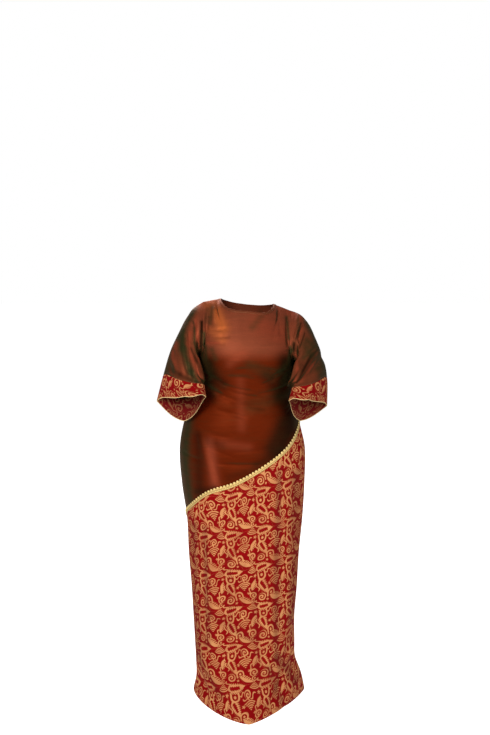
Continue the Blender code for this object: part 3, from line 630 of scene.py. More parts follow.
# The braid: its tape, how far its two cords stand up, where each lies across it and the way that
# it is twisted, half a cord's width, and how steep and deep the twist is
BRAID_TAPE = 0.0008
BRAID_SUNK = 0.0001
CORD_RISE = 0.0018
CORD_TWIST = 0.0062
BRAID_CORDS = ((0.28, 1), (0.72, -1))
CORD_HALF = 0.21
CORD_SLOPE = 1.6
TWIST_DEPTH = 0.28

# The neck binding: its half thickness, how square its section is (1 is an ellipse), how far off
# the cloth it is centred, its seam's place across it and how olive it is
BINDING_ROUND = 0.0013
BINDING_SQUARE = 0.6
BINDING_PROUD = 0.0004
BINDING_SEAM = 0.55
BINDING_SEAM_PROUD = 0.1
BINDING_OLIVE = 0.25

# Camera, floor and surroundings, and the lights: name, place, aim, size across and power
CAMERA_PLACE = (-0.0034, -2.85, 0.125)
CAMERA_PITCH = 7.07
CAMERA_LENS = 40.56
CAMERA_SENSOR = 36.0
FLOOR_HALF = 30.0
FLOOR_DROP = 0.0005
WORLD_LIGHT = 0.26
FLOOR_GLOW = 0.78
LIGHTS = (
    ("key", (-1.2, -3.2, 1.1), (0.0, 0.0, -0.5), 1.5, 100.0),
    ("fill", (1.8, -3.0, 0.3), (0.0, 0.0, -0.6), 2.0, 34.0),
    ("back", (-0.6, 3.2, 1.6), (0.0, 0.0, -0.5), 2.4, 90.0),
)

# Grid sizes, and how finely lines are sampled
NECK_COLUMNS, SHOULDER_COLUMNS, ARMHOLE_COLUMNS = 28, 10, 52
BODICE_ROWS, YOKE_ROWS, SKIRT_ROWS = 165, 62, 190
SLEEVE_ROWS, BAND_ROWS = 96, 34
EDGE_ROW = 0.012
ARC_SAMPLES = 64
BRAID_STEP = 0.0008
BRAID_PROFILE = 15
SEAM_SAMPLES = 401
BINDING_SIDES = 16
NEAR_SHARE = 0.3
SHARP_ANGLE = 55

# Points this many to the metre count as the same place where pieces meet
MEETING_PITCH = 20000
SMALLEST = 1e-9


def named(rows, columns):
    """The table's columns as arrays by name."""
    return {name: np.array([row[i] for row in rows], float) for i, name in enumerate(columns)}


def smooth(known, values, wanted):
    """A soft curve through known points, read at the wanted places."""
    known, values = np.asarray(known, float), np.asarray(values, float)
    flat = values.reshape(len(known), -1)
    gaps = np.diff(known)[:, None]
    steps = np.diff(flat, axis=0) / gaps
    slopes = np.concatenate([steps[:1], steps[:-1], steps[-1:]])
    if len(known) > 2:
        mean = (steps[:-1] * gaps[1:] + steps[1:] * gaps[:-1]) / (gaps[1:] + gaps[:-1])
        turning = steps[:-1] * steps[1:] < 0
        slopes[1:-1] = np.where(turning, mean * 0.5, mean)
    wanted = np.clip(np.asarray(wanted, float), known[0], known[-1])
    cell = np.clip(np.searchsorted(known, wanted, side="right") - 1, 0, len(known) - 2)
    gap = gaps[cell, 0]
    part = ((wanted - known[cell]) / gap)[..., None]
    gap = gap[..., None]
    found = (
        (2 * part**3 - 3 * part**2 + 1) * flat[cell]
        + (part**3 - 2 * part**2 + part) * gap * slopes[cell]
        + (-2 * part**3 + 3 * part**2) * flat[cell + 1]
        + (part**3 - part**2) * gap * slopes[cell + 1]
    )
    return found.reshape(wanted.shape + values.shape[1:])


def ease(value):
    """0 below 0, 1 above 1, and a soft step between."""
    value = np.clip(value, 0.0, 1.0)
    return value * value * (3 - 2 * value)


TRUNK = named(TRUNK_SECTIONS, TRUNK_COLUMNS)
LEAVE = named(LEAVE_PLACES, LEAVE_COLUMNS)
SLANT = named(SLANT_PLACES, SLANT_COLUMNS)
NECK_POINT = FRONT_NECKLINE[-1][0]
SHOULDER_POINT = FRONT_SHOULDER[-1][0]


def section(angle, power, half, depth):
    """A quarter of a body section, where angle 0 faces front or back and a right angle the side."""
    x = half * np.sin(angle) ** (2 / power)
    y = depth * np.cos(angle) ** (2 / power)
    return x, y


def trunk(turn, height):
    """A point of the body tube. turn is 0 at the middle front, 1 at the right seam and 2 behind,
    and runs evenly along the cloth between those."""
    turn, height = np.broadcast_arrays(np.asarray(turn, float), np.asarray(height, float))
    size = {name: smooth(TRUNK["height"], TRUNK[name], height) for name in TRUNK_COLUMNS[1:]}
    behind = np.abs(turn) > 1
    across = np.where(behind, 2 - np.abs(turn), np.abs(turn))
    power = np.where(behind, BACK_SQUARE, size["square"] - np.sign(turn) * size["lean"])
    depth = np.where(behind, size["back"], size["front"])
    middle, half = (size["left"] + size["right"]) / 2, (size["right"] - size["left"]) / 2
    angles = np.linspace(0, math.pi / 2, ARC_SAMPLES + 1)
    x, y = section(angles, power[..., None], half[..., None], depth[..., None])
    length = np.cumsum(np.hypot(np.diff(x), np.diff(y)), axis=-1)
    length = np.concatenate([np.zeros(length.shape[:-1] + (1,)), length], axis=-1)
    target = across[..., None] * length[..., -1:]
    cell = np.clip((length < target).sum(-1, keepdims=True) - 1, 0, ARC_SAMPLES - 1)
    before = np.take_along_axis(length, cell, -1)
    after = np.take_along_axis(length, cell + 1, -1)
    part = np.clip((target - before) / (after - before), 0, 1)
    angle = ((cell + part) * angles[1])[..., 0]
    x, y = section(angle, power, half, depth)
    return np.stack([middle + np.sign(turn) * x, np.where(behind, y, -y), height], axis=-1)


def stand(points):
    """The points with the stance of the shoulders."""
    part = ease((points[..., 2] - STANCE_FROM) / (STANCE_TO - STANCE_FROM))
    moved = points.copy()
    moved[..., 0] += STANCE_SHIFT * part
    moved[..., 2] -= STANCE_SLOPE * points[..., 0] * part
    return moved


def top_edge(stretches, share):
    """Places on a panel's top edge, and the ways in which the cloth meets it. share runs from -1 at
    one underarm to 1 at the other."""
    size = np.abs(share)
    found = np.zeros(size.shape + (6,))
    for rows in stretches:
        row = named(rows, EDGE_COLUMNS)
        inside = (size >= row["share"][0] - SMALLEST) & (size <= row["share"][-1] + SMALLEST)
        values = np.stack([row[name] for name in EDGE_COLUMNS[1:]], axis=-1)
        found = np.where(inside[..., None], smooth(row["share"], values, size), found)
    found[..., [0, 3]] *= np.where(share < 0, -1.0, 1.0)[..., None]
    place, way = found[..., :3], found[..., 3:]
    return place, way / np.linalg.norm(way, axis=-1, keepdims=True)


def spread(share):
    """Where a column lies on the body, from -1 at the left side seam to 1 at the right one."""
    return np.sign(share) * smooth(LEAVE["share"], LEAVE["spread"], np.abs(share))


def around(share, back):
    """The turn about the body at a column of the front or back panel."""
    place = spread(share)
    return np.where(place < 0, -2.0, 2.0) - place if back else place


def yoke(share, climb, back):
    """Points from the level sections (climb 0) to the top edge (climb 1) of a panel."""
    turn = around(share, back)
    low = smooth(LEAVE["share"], LEAVE["height"], np.abs(share))
    start = trunk(turn, low)
    lean = (start - trunk(turn, low - 0.01)) / 0.01
    end, arrive = top_edge(BACK_EDGE if back else FRONT_EDGE, share)
    reach = np.linalg.norm(end - start, axis=-1, keepdims=True)
    c = climb[..., None]
    return (
        (2 * c**3 - 3 * c**2 + 1) * start
        + (c**3 - 2 * c**2 + c) * reach * lean
        + (-2 * c**3 + 3 * c**2) * end
        + (c**3 - c**2) * reach * arrive * ARRIVING_PULL
    )


def slant_height(share):
    """Height of the slanting seam, which climbs to the right seam on the front and on the back."""
    return smooth(SLANT["spread"], SLANT["height"], spread(share))


def panel_shares():
    """Shares of a panel's columns, with one on each corner of the top edge."""
    half = np.concatenate([
        np.linspace(0, NECK_POINT, NECK_COLUMNS + 1)[:-1],
        np.linspace(NECK_POINT, SHOULDER_POINT, SHOULDER_COLUMNS + 1)[:-1],
        np.linspace(SHOULDER_POINT, 1, ARMHOLE_COLUMNS + 1),
    ])
    return np.concatenate([-half[:0:-1], half])


def bodice_points(back):
    """The bodice panel's outer face, from the slanting seam up to its top edge."""
    share = panel_shares()[:, None]
    low, high = slant_height(share), smooth(LEAVE["share"], LEAVE["height"], np.abs(share))
    body = trunk(around(share, back), low + (high - low) * np.linspace(0, 1, BODICE_ROWS + 1))
    climb = np.append(np.linspace(0, 1 - EDGE_ROW, YOKE_ROWS)[1:], 1)
    top = yoke(share + climb * 0, climb + share * 0, back)
    return stand(np.concatenate([body, top], axis=1))


def skirt_points(back):
    """The skirt panel's outer face, from the hem up to the slanting seam."""
    share = panel_shares()[:, None]
    part = np.linspace(0, 1, SKIRT_ROWS + 1) ** 1.2
    return stand(trunk(around(share, back), slant_height(share) * part))


def arm_ring(side):
    """The armhole of the left (-1) or right (1) side, from the shoulder round the front."""
    half = np.linspace(SHOULDER_POINT, 1, ARMHOLE_COLUMNS + 1)
    front, _ = top_edge((FRONT_ARMHOLE,), half * side)
    back, _ = top_edge((BACK_ARMHOLE,), half[::-1] * side)
    return stand(np.concatenate([front, back[1:-1]]))


def four_point_ring(row, steps):
    """A closed smooth ring through a section's outer, front, inner and back points."""
    part = dict(zip(SLEEVE_COLUMNS, row))
    taut = part["taut"]
    outer, front, inner, back = (np.array(part[line]) for line in SLEEVE_COLUMNS[2:])
    angle = np.arange(steps)[:, None] * 2 * math.pi / steps
    pull = 1 - taut + taut / (np.abs(np.cos(angle)) + np.abs(np.sin(angle)))
    middle = (outer + front + inner + back) / 4
    bulge = (outer + inner - front - back) / 4
    return (
        middle
        + (outer - inner) / 2 * np.cos(angle) * pull
        + (front - back) / 2 * np.sin(angle) * pull
        + bulge * np.cos(2 * angle)
    )


def sleeve_points(side, places):
    """The sleeve's outer face at the given places, from the armhole (0) to the cuff edge (1)."""
    rows = LEFT_SLEEVE if side < 0 else RIGHT_SLEEVE
    ring = arm_ring(side)
    rings = np.stack([ring] + [four_point_ring(row, len(ring)) for row in rows])
    return smooth([0.0] + [row[0] for row in rows], rings, places).transpose(1, 0, 2)


def crease_depth(rows, columns, points):
    """How deep folds or creases press the points in, each a soft trough that fades at both ends."""
    total = np.zeros(points.shape[:-1])
    if not rows:
        return total
    row = named(rows, columns)
    bow = row.get("bow", np.zeros(len(rows)))
    x, height = points[..., 0], points[..., 2]
    for i in range(len(rows)):
        dx, dh = row["x1"][i] - row["x0"][i], row["height1"][i] - row["height0"][i]
        length = math.hypot(dx, dh)
        along = ((x - row["x0"][i]) * dx + (height - row["height0"][i]) * dh) / length**2
        aside = ((x - row["x0"][i]) * dh - (height - row["height0"][i]) * dx) / length
        aside = aside - bow[i] * 4 * along * (1 - along)
        fade = ease(along * FOLD_FADE + 0.5) * ease((1 - along) * FOLD_FADE + 0.5)
        total += row["depth"][i] * np.exp(-((aside / row["width"][i]) ** 2)) * fade
    return total


def lapped(side, places, points):
    """The sleeve's points, drawn forward over the body's side along its inner front."""
    turn = np.arange(len(points))[:, None] * 360 / len(points)
    for row in SLEEVE_LAPS:
        lap = dict(zip(LAP_COLUMNS, row))
        if lap["side"] != side:
            continue
        part = np.exp(-(((places - lap["place"]) / lap["spread"]) ** 2)) * ease(places / LAP_START)
        part = part * ease((BAND_PLACE - places) / LAP_FADE)
        part = part * np.exp(-(((turn - lap["turn"]) / lap["wide"]) ** 2))
        points = points + part[..., None] * np.array((-side * lap["in"], -lap["forward"], 0.0))
    return points


def plain_pieces():
    """Every cloth piece's outer face before folding, as a grid whose columns run round the gown
    against the clock from above and whose rows climb, so that faces point out."""
    pieces = {}
    for back, word in ((False, "front"), (True, "back")):
        for name, points in (("bodice", bodice_points(back)), ("skirt", skirt_points(back))):
            pieces[f"{name}_{word}"] = points[::-1] if back else points
    upper = np.linspace(0, BAND_PLACE, SLEEVE_ROWS + 1)
    lower = np.linspace(BAND_PLACE, 1, BAND_ROWS + 1)
    for side, word in ((-1, "left"), (1, "right")):
        for name, places in (("sleeve", upper), ("sleeve_band", lower)):
            points = lapped(side, places, sleeve_points(side, places))
            pieces[f"{name}_{word}"] = points[::-1] if side < 0 else points
    return pieces


def is_tube(name):
    """Whether the piece closes on itself, as a sleeve or its band does."""
    return name.startswith("sleeve")


def face_normals(points, closed):
    """Normals of a grid's faces, as long as the faces are large, by their lower column and row."""
    there = np.roll(points, -1, axis=0) if closed else points[1:]
    here = points if closed else points[:-1]
    return np.cross(there[:, 1:] - here[:, :-1], here[:, 1:] - there[:, :-1])


def own_normals(points, closed):
    """Unit normals at a grid's points."""
    faces = face_normals(points, closed)
    total = np.zeros_like(points)
    first = np.arange(len(faces))
    for column in (first, (first + 1) % len(points)):
        for row in (slice(None, -1), slice(1, None)):
            total[column, row] += faces
    return total / np.linalg.norm(total, axis=-1, keepdims=True)


def shared_normals(pieces):
    """Unit normals at every point, the same for all the pieces that meet at a seam."""
    found = {name: own_normals(points, is_tube(name)) for name, points in pieces.items()}
    sums, edges = {}, []
    for name, points in pieces.items():
        border = np.ones(points.shape[:2], bool)
        border[slice(None) if is_tube(name) else slice(1, -1), 1:-1] = False
        places = np.argwhere(border)
        keys = [tuple(key) for key in np.round(points[border] * MEETING_PITCH).astype(int)]
        edges.append((name, places, keys))
        for key, normal in zip(keys, found[name][border]):
            sums[key] = sums.get(key, 0) + normal
    for name, places, keys in edges:
        for (column, row), key in zip(places, keys):
            found[name][column, row] = sums[key] / np.linalg.norm(sums[key])
    return found


def steps_along(points, axis):
    """Running length along a grid's columns or rows."""
    step = np.linalg.norm(np.diff(points, axis=axis), axis=-1)
    start = np.zeros_like(step.take([0], axis=axis))
    return np.concatenate([start, np.cumsum(step, axis=axis)], axis=axis)


def panel_shape(name, points):
    """How deep the large folds, the creases and the darts press a body panel in."""
    back = name.endswith("back")
    bodice = name.startswith("bodice")
    share = panel_shares()[::-1 if back else 1][:, None]
    line = slant_height(share)
    large = crease_depth(BACK_FOLDS if back else FRONT_FOLDS, FOLD_COLUMNS, points)
    large = large * ease((1 - np.abs(share)) / SIDE_CALM)
    tables = {
        "bodice_front": BODICE_FRONT_CREASES,
        "bodice_back": BODICE_BACK_CREASES,
        "skirt_front": SKIRT_FRONT_CREASES,
        "skirt_back": SKIRT_BACK_CREASES,
    }
    small = crease_depth(tables[name], CREASE_COLUMNS, points)
    small = small * ease((1 - np.abs(share)) / CREASE_SIDE_CALM)
    if bodice:
        climb = np.concatenate([np.zeros(BODICE_ROWS + 1), np.linspace(0, 1, YOKE_ROWS)[1:], [1]])
        large = large * ease((1 - climb) / TOP_CALM)
        small = small * ease((1 - climb) / CREASE_TOP_CALM)
    calm = np.abs(points[..., 2] - line)
    depth = large * ease(calm / SLANT_CALM) + small * ease(calm / CREASE_SLANT_CALM)
    if bodice:
        darts = BACK_DARTS if back else BUST_DARTS
        depth = depth + crease_depth(darts, CREASE_COLUMNS, points)
    return depth


def sleeve_shape(name, points, normals):
    """How deep the large folds and the creases press a sleeve in."""
    left = name.endswith("left")
    folds = LEFT_SLEEVE_FOLDS if left else RIGHT_SLEEVE_FOLDS
    creases = LEFT_SLEEVE_CREASES if left else RIGHT_SLEEVE_CREASES
    place = np.linspace(0, 1, points.shape[1])
    fade = ease(np.minimum(place, 1 - place) * BAND_PLACE / SLEEVE_CALM)
    large = crease_depth(folds, FOLD_COLUMNS, points)
    front = ease(-normals[..., 1] / SLEEVE_TURN)
    behind = ease(normals[..., 1] / SLEEVE_TURN)
    small = crease_depth(creases, CREASE_COLUMNS, points)
    mirror = points * np.array((-1.0 if left else 1.0, 1.0, 1.0))
    hidden = crease_depth(SLEEVE_BACK_CREASES, CREASE_COLUMNS, mirror)
    near = ease(np.minimum(place, (1 - place) * CREASE_CUFF_CALM) / CREASE_SLEEVE_CALM)
    return large * fade + (small * front + hidden * behind) * near


def groove(away):
    """The depth of a seam's groove at this distance from the seam."""
    return SEAM_GROOVE * np.exp(-((away / SEAM_WIDTH) ** 2))


def seam_grooves(name, points):
    """A narrow groove where pieces are sewn together."""
    across = steps_along(points, 0)
    along = steps_along(points, 1)
    if name.startswith("sleeve_band"):
        return groove(along[:, -1:] - along)
    if is_tube(name):
        return np.maximum(groove(along), groove(along[:, -1:] - along))
    total = np.maximum(groove(across), groove(across[-1:] - across))
    if name.startswith("bodice"):
        sewn = np.abs(panel_shares()) >= NECK_POINT
        total[sewn] = np.maximum(total[sewn], groove(along[sewn, -1:] - along[sewn]))
    return total


def pressed_pieces(pieces):
    """The pieces with folds, creases, darts and seams pressed in."""
    normals = shared_normals(pieces)
    found = {}
    for name, points in pieces.items():
        if "band" in name:
            depth = np.zeros(points.shape[:2])
        elif is_tube(name):
            depth = sleeve_shape(name, points, normals[name])
        else:
            depth = panel_shape(name, points)
        depth = depth + seam_grooves(name, points)
        found[name] = points - normals[name] * depth[..., None]
    return found


class Net:
    """Adds nodes to a tree, each wired as it is made."""

    def __init__(self, tree):
        self.tree = tree

    def node(self, kind, **settings):
        made = self.tree.nodes.new(kind)
        for name, value in settings.items():
            setattr(made, name, value)
        return made

    def wire(self, socket, value):
        if isinstance(value, bpy.types.NodeSocket):
            self.tree.links.new(value, socket)
        else:
            socket.default_value = value

    def fill(self, made, values):
        for socket, value in zip(made.inputs, values):
            self.wire(socket, value)
        return made.outputs[0]

    def math(self, how, *values, clamp=False):
        return self.fill(self.node("ShaderNodeMath", operation=how, use_clamp=clamp), values)

    def plus(self, *values, clamp=False):
        return self.math("ADD", *values, clamp=clamp)

    def less(self, *values):
        return self.math("SUBTRACT", *values)

    def times(self, *values):
        return self.math("MULTIPLY", *values)

    def over(self, *values):
        return self.math("DIVIDE", *values)

    def size(self, value):
        return self.math("ABSOLUTE", value)

    def vector(self, how, *values):
        return self.fill(self.node("ShaderNodeVectorMath", operation=how), values)

    def length(self, value):
        made = self.node("ShaderNodeVectorMath", operation="LENGTH")
        self.wire(made.inputs[0], value)
        return made.outputs["Value"]

    def parts(self, value):
        made = self.node("ShaderNodeSeparateXYZ")
        self.wire(made.inputs[0], value)
        return made.outputs[0], made.outputs[1]

    def join(self, *values):
        return self.fill(self.node("ShaderNodeCombineXYZ"), values)

    def noise(self, place, scale, detail=3.0, roughness=0.55):
        made = self.node("ShaderNodeTexNoise")
        self.wire(made.inputs["Vector"], place)
        made.inputs["Scale"].default_value = scale
        made.inputs["Detail"].default_value = detail
        made.inputs["Roughness"].default_value = roughness
        return made.outputs["Fac"]

    def wander(self, place, reach, scale, detail, start):
        """A shift that wanders over the cloth, added to another one."""
        made = self.node("ShaderNodeTexNoise")
        self.wire(made.inputs["Vector"], place)
        made.inputs["Scale"].default_value = scale
        made.inputs["Detail"].default_value = detail
        return self.vector("MULTIPLY_ADD", made.outputs["Color"], (reach, reach, 0.0), start)

    def attribute(self, name, output="Fac"):
        return self.node("ShaderNodeAttribute", attribute_name=name).outputs[output]

    def bump(self, height, strength, depth, under=None):
        made = self.node("ShaderNodeBump")
        made.inputs["Strength"].default_value = strength
        made.inputs["Distance"].default_value = depth
        self.wire(made.inputs["Height"], height)
        if under is not None:
            self.wire(made.inputs["Normal"], under)
        return made.outputs[0]

    def blend(self, part, first, second):
        made = self.node("ShaderNodeMix", data_type="RGBA")
        self.wire(made.inputs[0], part)
        self.wire(made.inputs[6], first)
        self.wire(made.inputs[7], second)
        return made.outputs[2]

    def inside(self, distance, softness=INK_EDGE):
        """1 where a signed distance is below 0, with a soft edge."""
        return self.math("MULTIPLY_ADD", distance, -1 / softness, 0.5, clamp=True)

    def ridge(self, part, half):
        """1 within half of the middle of a part that runs from 0 to 1."""
        away = self.size(self.less(part, 0.5))
        return self.inside(self.less(away, half), SOFT_SHARE)


def new_group(name, inputs, outputs):
    """A node group with these sockets, its net, its inputs by name and its output node."""
    tree = bpy.data.node_groups.new(name, "ShaderNodeTree")
    kinds = {"vector": "NodeSocketVector", "value": "NodeSocketFloat", "colour": "NodeSocketColor"}
    for word, kind in inputs:
        tree.interface.new_socket(word, in_out="INPUT", socket_type=kinds[kind])
    for word, kind in outputs:
        tree.interface.new_socket(word, in_out="OUTPUT", socket_type=kinds[kind])
    net = Net(tree)
    into, out = net.node("NodeGroupInput"), net.node("NodeGroupOutput")
    return tree, net, {word: into.outputs[word] for word, _ in inputs}, out


def leaf_motif(net, place, size):
    """A drop-shaped leaf with a feathered edge and a slit down its middle."""
    feathers, slope, depth, fullness = 9.0, 0.16, 0.20, 0.74
    slit_middle, slit_half, slit_width = 0.40, 0.27, 0.44
    x, y = net.parts(place)
    along = net.plus(net.over(x, size), 0.5, clamp=True)
    aside = net.size(y)
    swell = net.times(net.math("SQRT", along), net.less(1.0, along))
    phase = net.less(net.times(along, feathers), net.over(aside, net.times(size, slope)))
    wave = net.math("SINE", net.times(phase, 2 * math.pi))
    feather = net.math("MULTIPLY_ADD", wave, depth, 1 - depth)
    half = net.times(net.times(swell, feather), net.times(size, fullness))
    body = net.inside(net.less(aside, half))
    reach = net.times(net.less(net.size(net.less(along, slit_middle)), slit_half), size)
    hollow = net.less(aside, net.times(half, slit_width))
    slit = net.inside(net.math("MAXIMUM", reach, hollow))
    return net.times(body, net.less(1.0, slit))


def comb_motif(net, place, size):
    """A slanting leaf, whole on one side of its spine and combed on the other."""
    teeth, slope, tooth, fullness, spine_half = 7.0, 0.2, 0.55, 0.86, 0.0016
    x, y = net.parts(place)
    along = net.plus(net.over(x, size), 0.5, clamp=True)
    aside = net.size(y)
    swell = net.times(along, net.less(1.0, along))
    half = net.times(swell, net.times(size, fullness))
    body = net.inside(net.less(aside, half))
    phase = net.plus(net.times(along, teeth), net.over(aside, net.times(size, slope)))
    combed = net.inside(net.less(net.math("FRACT", phase), tooth), COMB_EDGE)
    upper = net.inside(net.times(y, -1.0))
    spine = net.inside(net.less(aside, spine_half))
    kept = net.math("MAXIMUM", net.math("MAXIMUM", upper, combed), spine)
    return net.times(body, kept)


def fan_motif(net, place, size):
    """A fan of arcs round one corner, like a shell."""
    corner, pitch, half, opening, radius = 0.42, 0.19, 0.27, 0.72, 0.95
    x, y = net.parts(place)
    x = net.math("MULTIPLY_ADD", size, corner, x)
    away = net.length(net.join(x, y, 0.0))
    angle = net.size(net.math("ARCTAN2", y, x))
    arcs = net.ridge(net.math("FRACT", net.over(away, net.times(size, pitch))), half)
    sector = net.inside(net.times(net.less(angle, opening), away))
    disc = net.inside(net.less(away, net.times(size, radius)))
    return net.times(net.times(arcs, sector), disc)


def curl_motif(net, place, size):
    """A curl of about one and a half turns."""
    pitch, half, radius = 0.31, 0.26, 0.5
    x, y = net.parts(place)
    away = net.length(place)
    turn = net.over(net.math("ARCTAN2", y, x), 2 * math.pi)
    coil = net.math("FRACT", net.less(net.over(away, net.times(size, pitch)), turn))
    disc = net.inside(net.less(away, net.times(size, radius)))
    return net.times(net.ridge(coil, half), disc)


def arch_motif(net, place, size):
    """A horseshoe arch with a dot in it."""
    radius, foot, thickness, dot = 0.40, -0.42, 0.085, 0.14
    x, y = net.parts(place)
    away = net.length(net.join(x, net.math("MAXIMUM", y, 0.0), 0.0))
    ring = net.less(net.size(net.less(away, net.times(size, radius))), net.times(size, thickness))
    legs = net.less(net.times(size, foot), y)
    arch = net.inside(net.math("MAXIMUM", ring, legs))
    middle = net.inside(net.less(net.length(place), net.times(size, dot)))
    return net.math("MAXIMUM", arch, middle)


def wave_motif(net, place, size):
    """A short wavy stroke with round ends."""
    height, half, thickness = 0.17, 0.42, 0.0021
    x, y = net.parts(place)
    swing = net.math("SINE", net.over(net.times(x, 2 * math.pi), size))
    off = net.less(y, net.times(swing, net.times(size, height)))
    past = net.math("MAXIMUM", net.less(net.size(x), net.times(size, half)), 0.0)
    away = net.length(net.join(past, off, 0.0))
    return net.inside(net.less(away, thickness))


def star_motif(net, place, size):
    """A small five-petalled star."""
    petals, depth, radius = 5.0, 0.14, 0.36
    x, y = net.parts(place)
    swing = net.math("COSINE", net.times(net.math("ARCTAN2", y, x), petals))
    edge = net.times(net.math("MULTIPLY_ADD", swing, depth, radius), size)
    return net.inside(net.less(net.length(place), edge))


def motif_group(kind, draw):
    """The node group of one kind of motif, drawn by its own function."""
    sockets = (("Place", "vector"), ("Size", "value"))
    tree, net, given, out = new_group(f"{kind}_motif", sockets, (("Ink", "value"),))
    net.wire(out.inputs["Ink"], draw(net, given["Place"], given["Size"]))
    return tree


MOTIFS = {
    "leaf": leaf_motif,
    "comb": comb_motif,
    "fan": fan_motif,
    "curl": curl_motif,
    "arch": arch_motif,
    "star": star_motif,
    "wave": wave_motif,
}


def lay_out(net, place, motifs, rows, tile):
    """Ink of a table of motifs, each repeated over the cloth by the tile."""
    total = 0.0
    half = (tile[0] / 2, tile[1] / 2, 1.0)
    for kind, x, y, degrees, size in rows:
        moved = net.vector("SUBTRACT", place, (x, y, 0.0))
        near = net.vector("WRAP", moved, half, tuple(-value for value in half))
        turned = net.node("ShaderNodeVectorRotate", rotation_type="Z_AXIS")
        net.wire(turned.inputs["Vector"], near)
        turned.inputs["Angle"].default_value = -math.radians(degrees)
        motif = net.node("ShaderNodeGroup", node_tree=motifs[kind])
        net.wire(motif.inputs["Place"], turned.outputs[0])
        motif.inputs["Size"].default_value = size
        total = net.math("MAXIMUM", motif.outputs["Ink"], total)
    return total


def principled(name, surface):
    """A new material, its net and its shader, with these surface values."""
    material = bpy.data.materials.new(name)
    material.use_nodes = True
    net = Net(material.node_tree)
    shader = material.node_tree.nodes["Principled BSDF"]
    for word, value in surface.items():
        shader.inputs[word].default_value = value
    return material, net, shader


def cloth_place(net):
    """The place on the flat cloth, in metres."""
    return net.node("ShaderNodeUVMap", uv_map="cloth").outputs[0]


def make_print():
    """Printed cotton: gold motifs on red."""
    motifs = {kind: motif_group(kind, draw) for kind, draw in MOTIFS.items()}
    material, net, shader = principled("printed_cotton", PRINT_SURFACE)
    place = cloth_place(net)
    centred = (-WAVER_REACH / 2, -WAVER_REACH / 2, 0.0)
    shift = net.wander(place, WAVER_REACH, WAVER_SCALE, WAVER_DETAIL, centred)
    shift = net.wander(place, DRIFT_REACH, DRIFT_SCALE, DRIFT_DETAIL, shift)
    x, y = net.parts(net.vector("ADD", place, shift))
    climbing = net.join(x, net.math("MULTIPLY_ADD", x, -PRINT_CLIMB, y), 0.0)
    on_skirt = lay_out(net, climbing, motifs, PRINT_MOTIFS, PRINT_TILE)
    on_band = lay_out(net, net.join(x, y, 0.0), motifs, BAND_MOTIFS, BAND_TILE)
    banded = net.attribute("cuff")
    ink = net.plus(net.times(on_skirt, net.less(1.0, banded)), net.times(on_band, banded))
    fleck = net.noise(place, FLECK_SCALE)
    worn = net.math("MULTIPLY_ADD", fleck, FLECK_DEPTH, FLECK_LOWEST, clamp=True)
    rub = net.noise(place, RUB_SCALE)
    rubbed = net.math("MULTIPLY_ADD", rub, RUB_DEPTH, RUB_LOWEST, clamp=True)
    patch = net.noise(place, PATCH_SCALE)
    red = net.blend(patch, PRINT_DEEP, PRINT_RED)
    gold = net.blend(patch, PRINT_TAN, PRINT_GOLD)
    colour = net.blend(net.times(net.times(ink, worn), rubbed), red, gold)
    # Painted shade along the skirt's folds and on the cloth's inner face
    colour = net.blend(net.attribute("shade"), colour, PRINT_SHADE)
    edge = net.parts(place)[1]
    line = net.times(net.math("LESS_THAN", edge, EDGE_LINE), net.math("GREATER_THAN", edge, -0.5))
    colour = net.blend(net.times(line, banded), colour, EDGE_GOLD)
    net.wire(shader.inputs["Base Color"], colour)
    net.wire(shader.inputs["Normal"], net.bump(weave(net, place), *WEAVE_BUMP))
    return material


def weave(net, place):
    """The height of a fine plain weave."""
    threads = [
        net.math("SINE", net.times(way, 2 * math.pi / WEAVE_PITCH)) for way in net.parts(place)
    ]
    return net.times(*threads)


def uneven(net, place, pitch, start, detail):
    """Noise that is stretched along the cloth's threads."""
    x, y = net.parts(place)
    stretched = net.join(net.times(x, pitch[0]), net.times(y, pitch[1]), start)
    return net.noise(stretched, 1.0, detail, 0.6)


def make_taffeta():
    """Shot taffeta: copper with painted highlights and shade, painted olive shade and sheen where it
    turns away, and fine slubs.
    """
    material, net, shader = principled("shot_taffeta_cloth", TAFFETA_SURFACE)
    place = cloth_place(net)
    slub = uneven(net, place, SLUB_PITCH, 0.0, 2.0)
    broad = uneven(net, place, BROAD_PITCH, 3.0, 3.0)
    # Painted olive shade and sheen, made uneven by the slubs, over the copper with its painted
    # highlights and shade
    part = net.plus(net.attribute("shot"), net.times(net.less(slub, 0.5), SLUB_COLOUR))
    part = net.plus(part, net.times(net.less(broad, 0.5), BROAD_COLOUR), clamp=True)
    colour = net.blend(part, net.attribute("copper_and_painted_light", "Color"), OLIVE_SHADE)
    net.wire(shader.inputs["Base Color"], colour)
    fine = net.bump(slub, *SLUB_BUMP)
    net.wire(shader.inputs["Normal"], net.bump(broad, *BROAD_BUMP, under=fine))
    return material


def make_gold():
    """Gold metallic thread, with painted shade between the cords."""
    material, net, shader = principled("gold_thread", GOLD_SURFACE)
    colour = net.blend(net.attribute("relief"), GOLD_SHADE, GOLD_LIT)
    net.wire(shader.inputs["Base Color"], colour)
    return material


def make_thread(name, colour):
    """Sewing thread, a little uneven."""
    material, net, shader = principled(name, THREAD_SURFACE)
    place = net.node("ShaderNodeTexCoord").outputs["Object"]
    darker = tuple(value * THREAD_SHADE for value in colour[:3]) + (1.0,)
    net.wire(shader.inputs["Base Color"], net.blend(net.noise(place, 900.0), darker, colour))
    return material


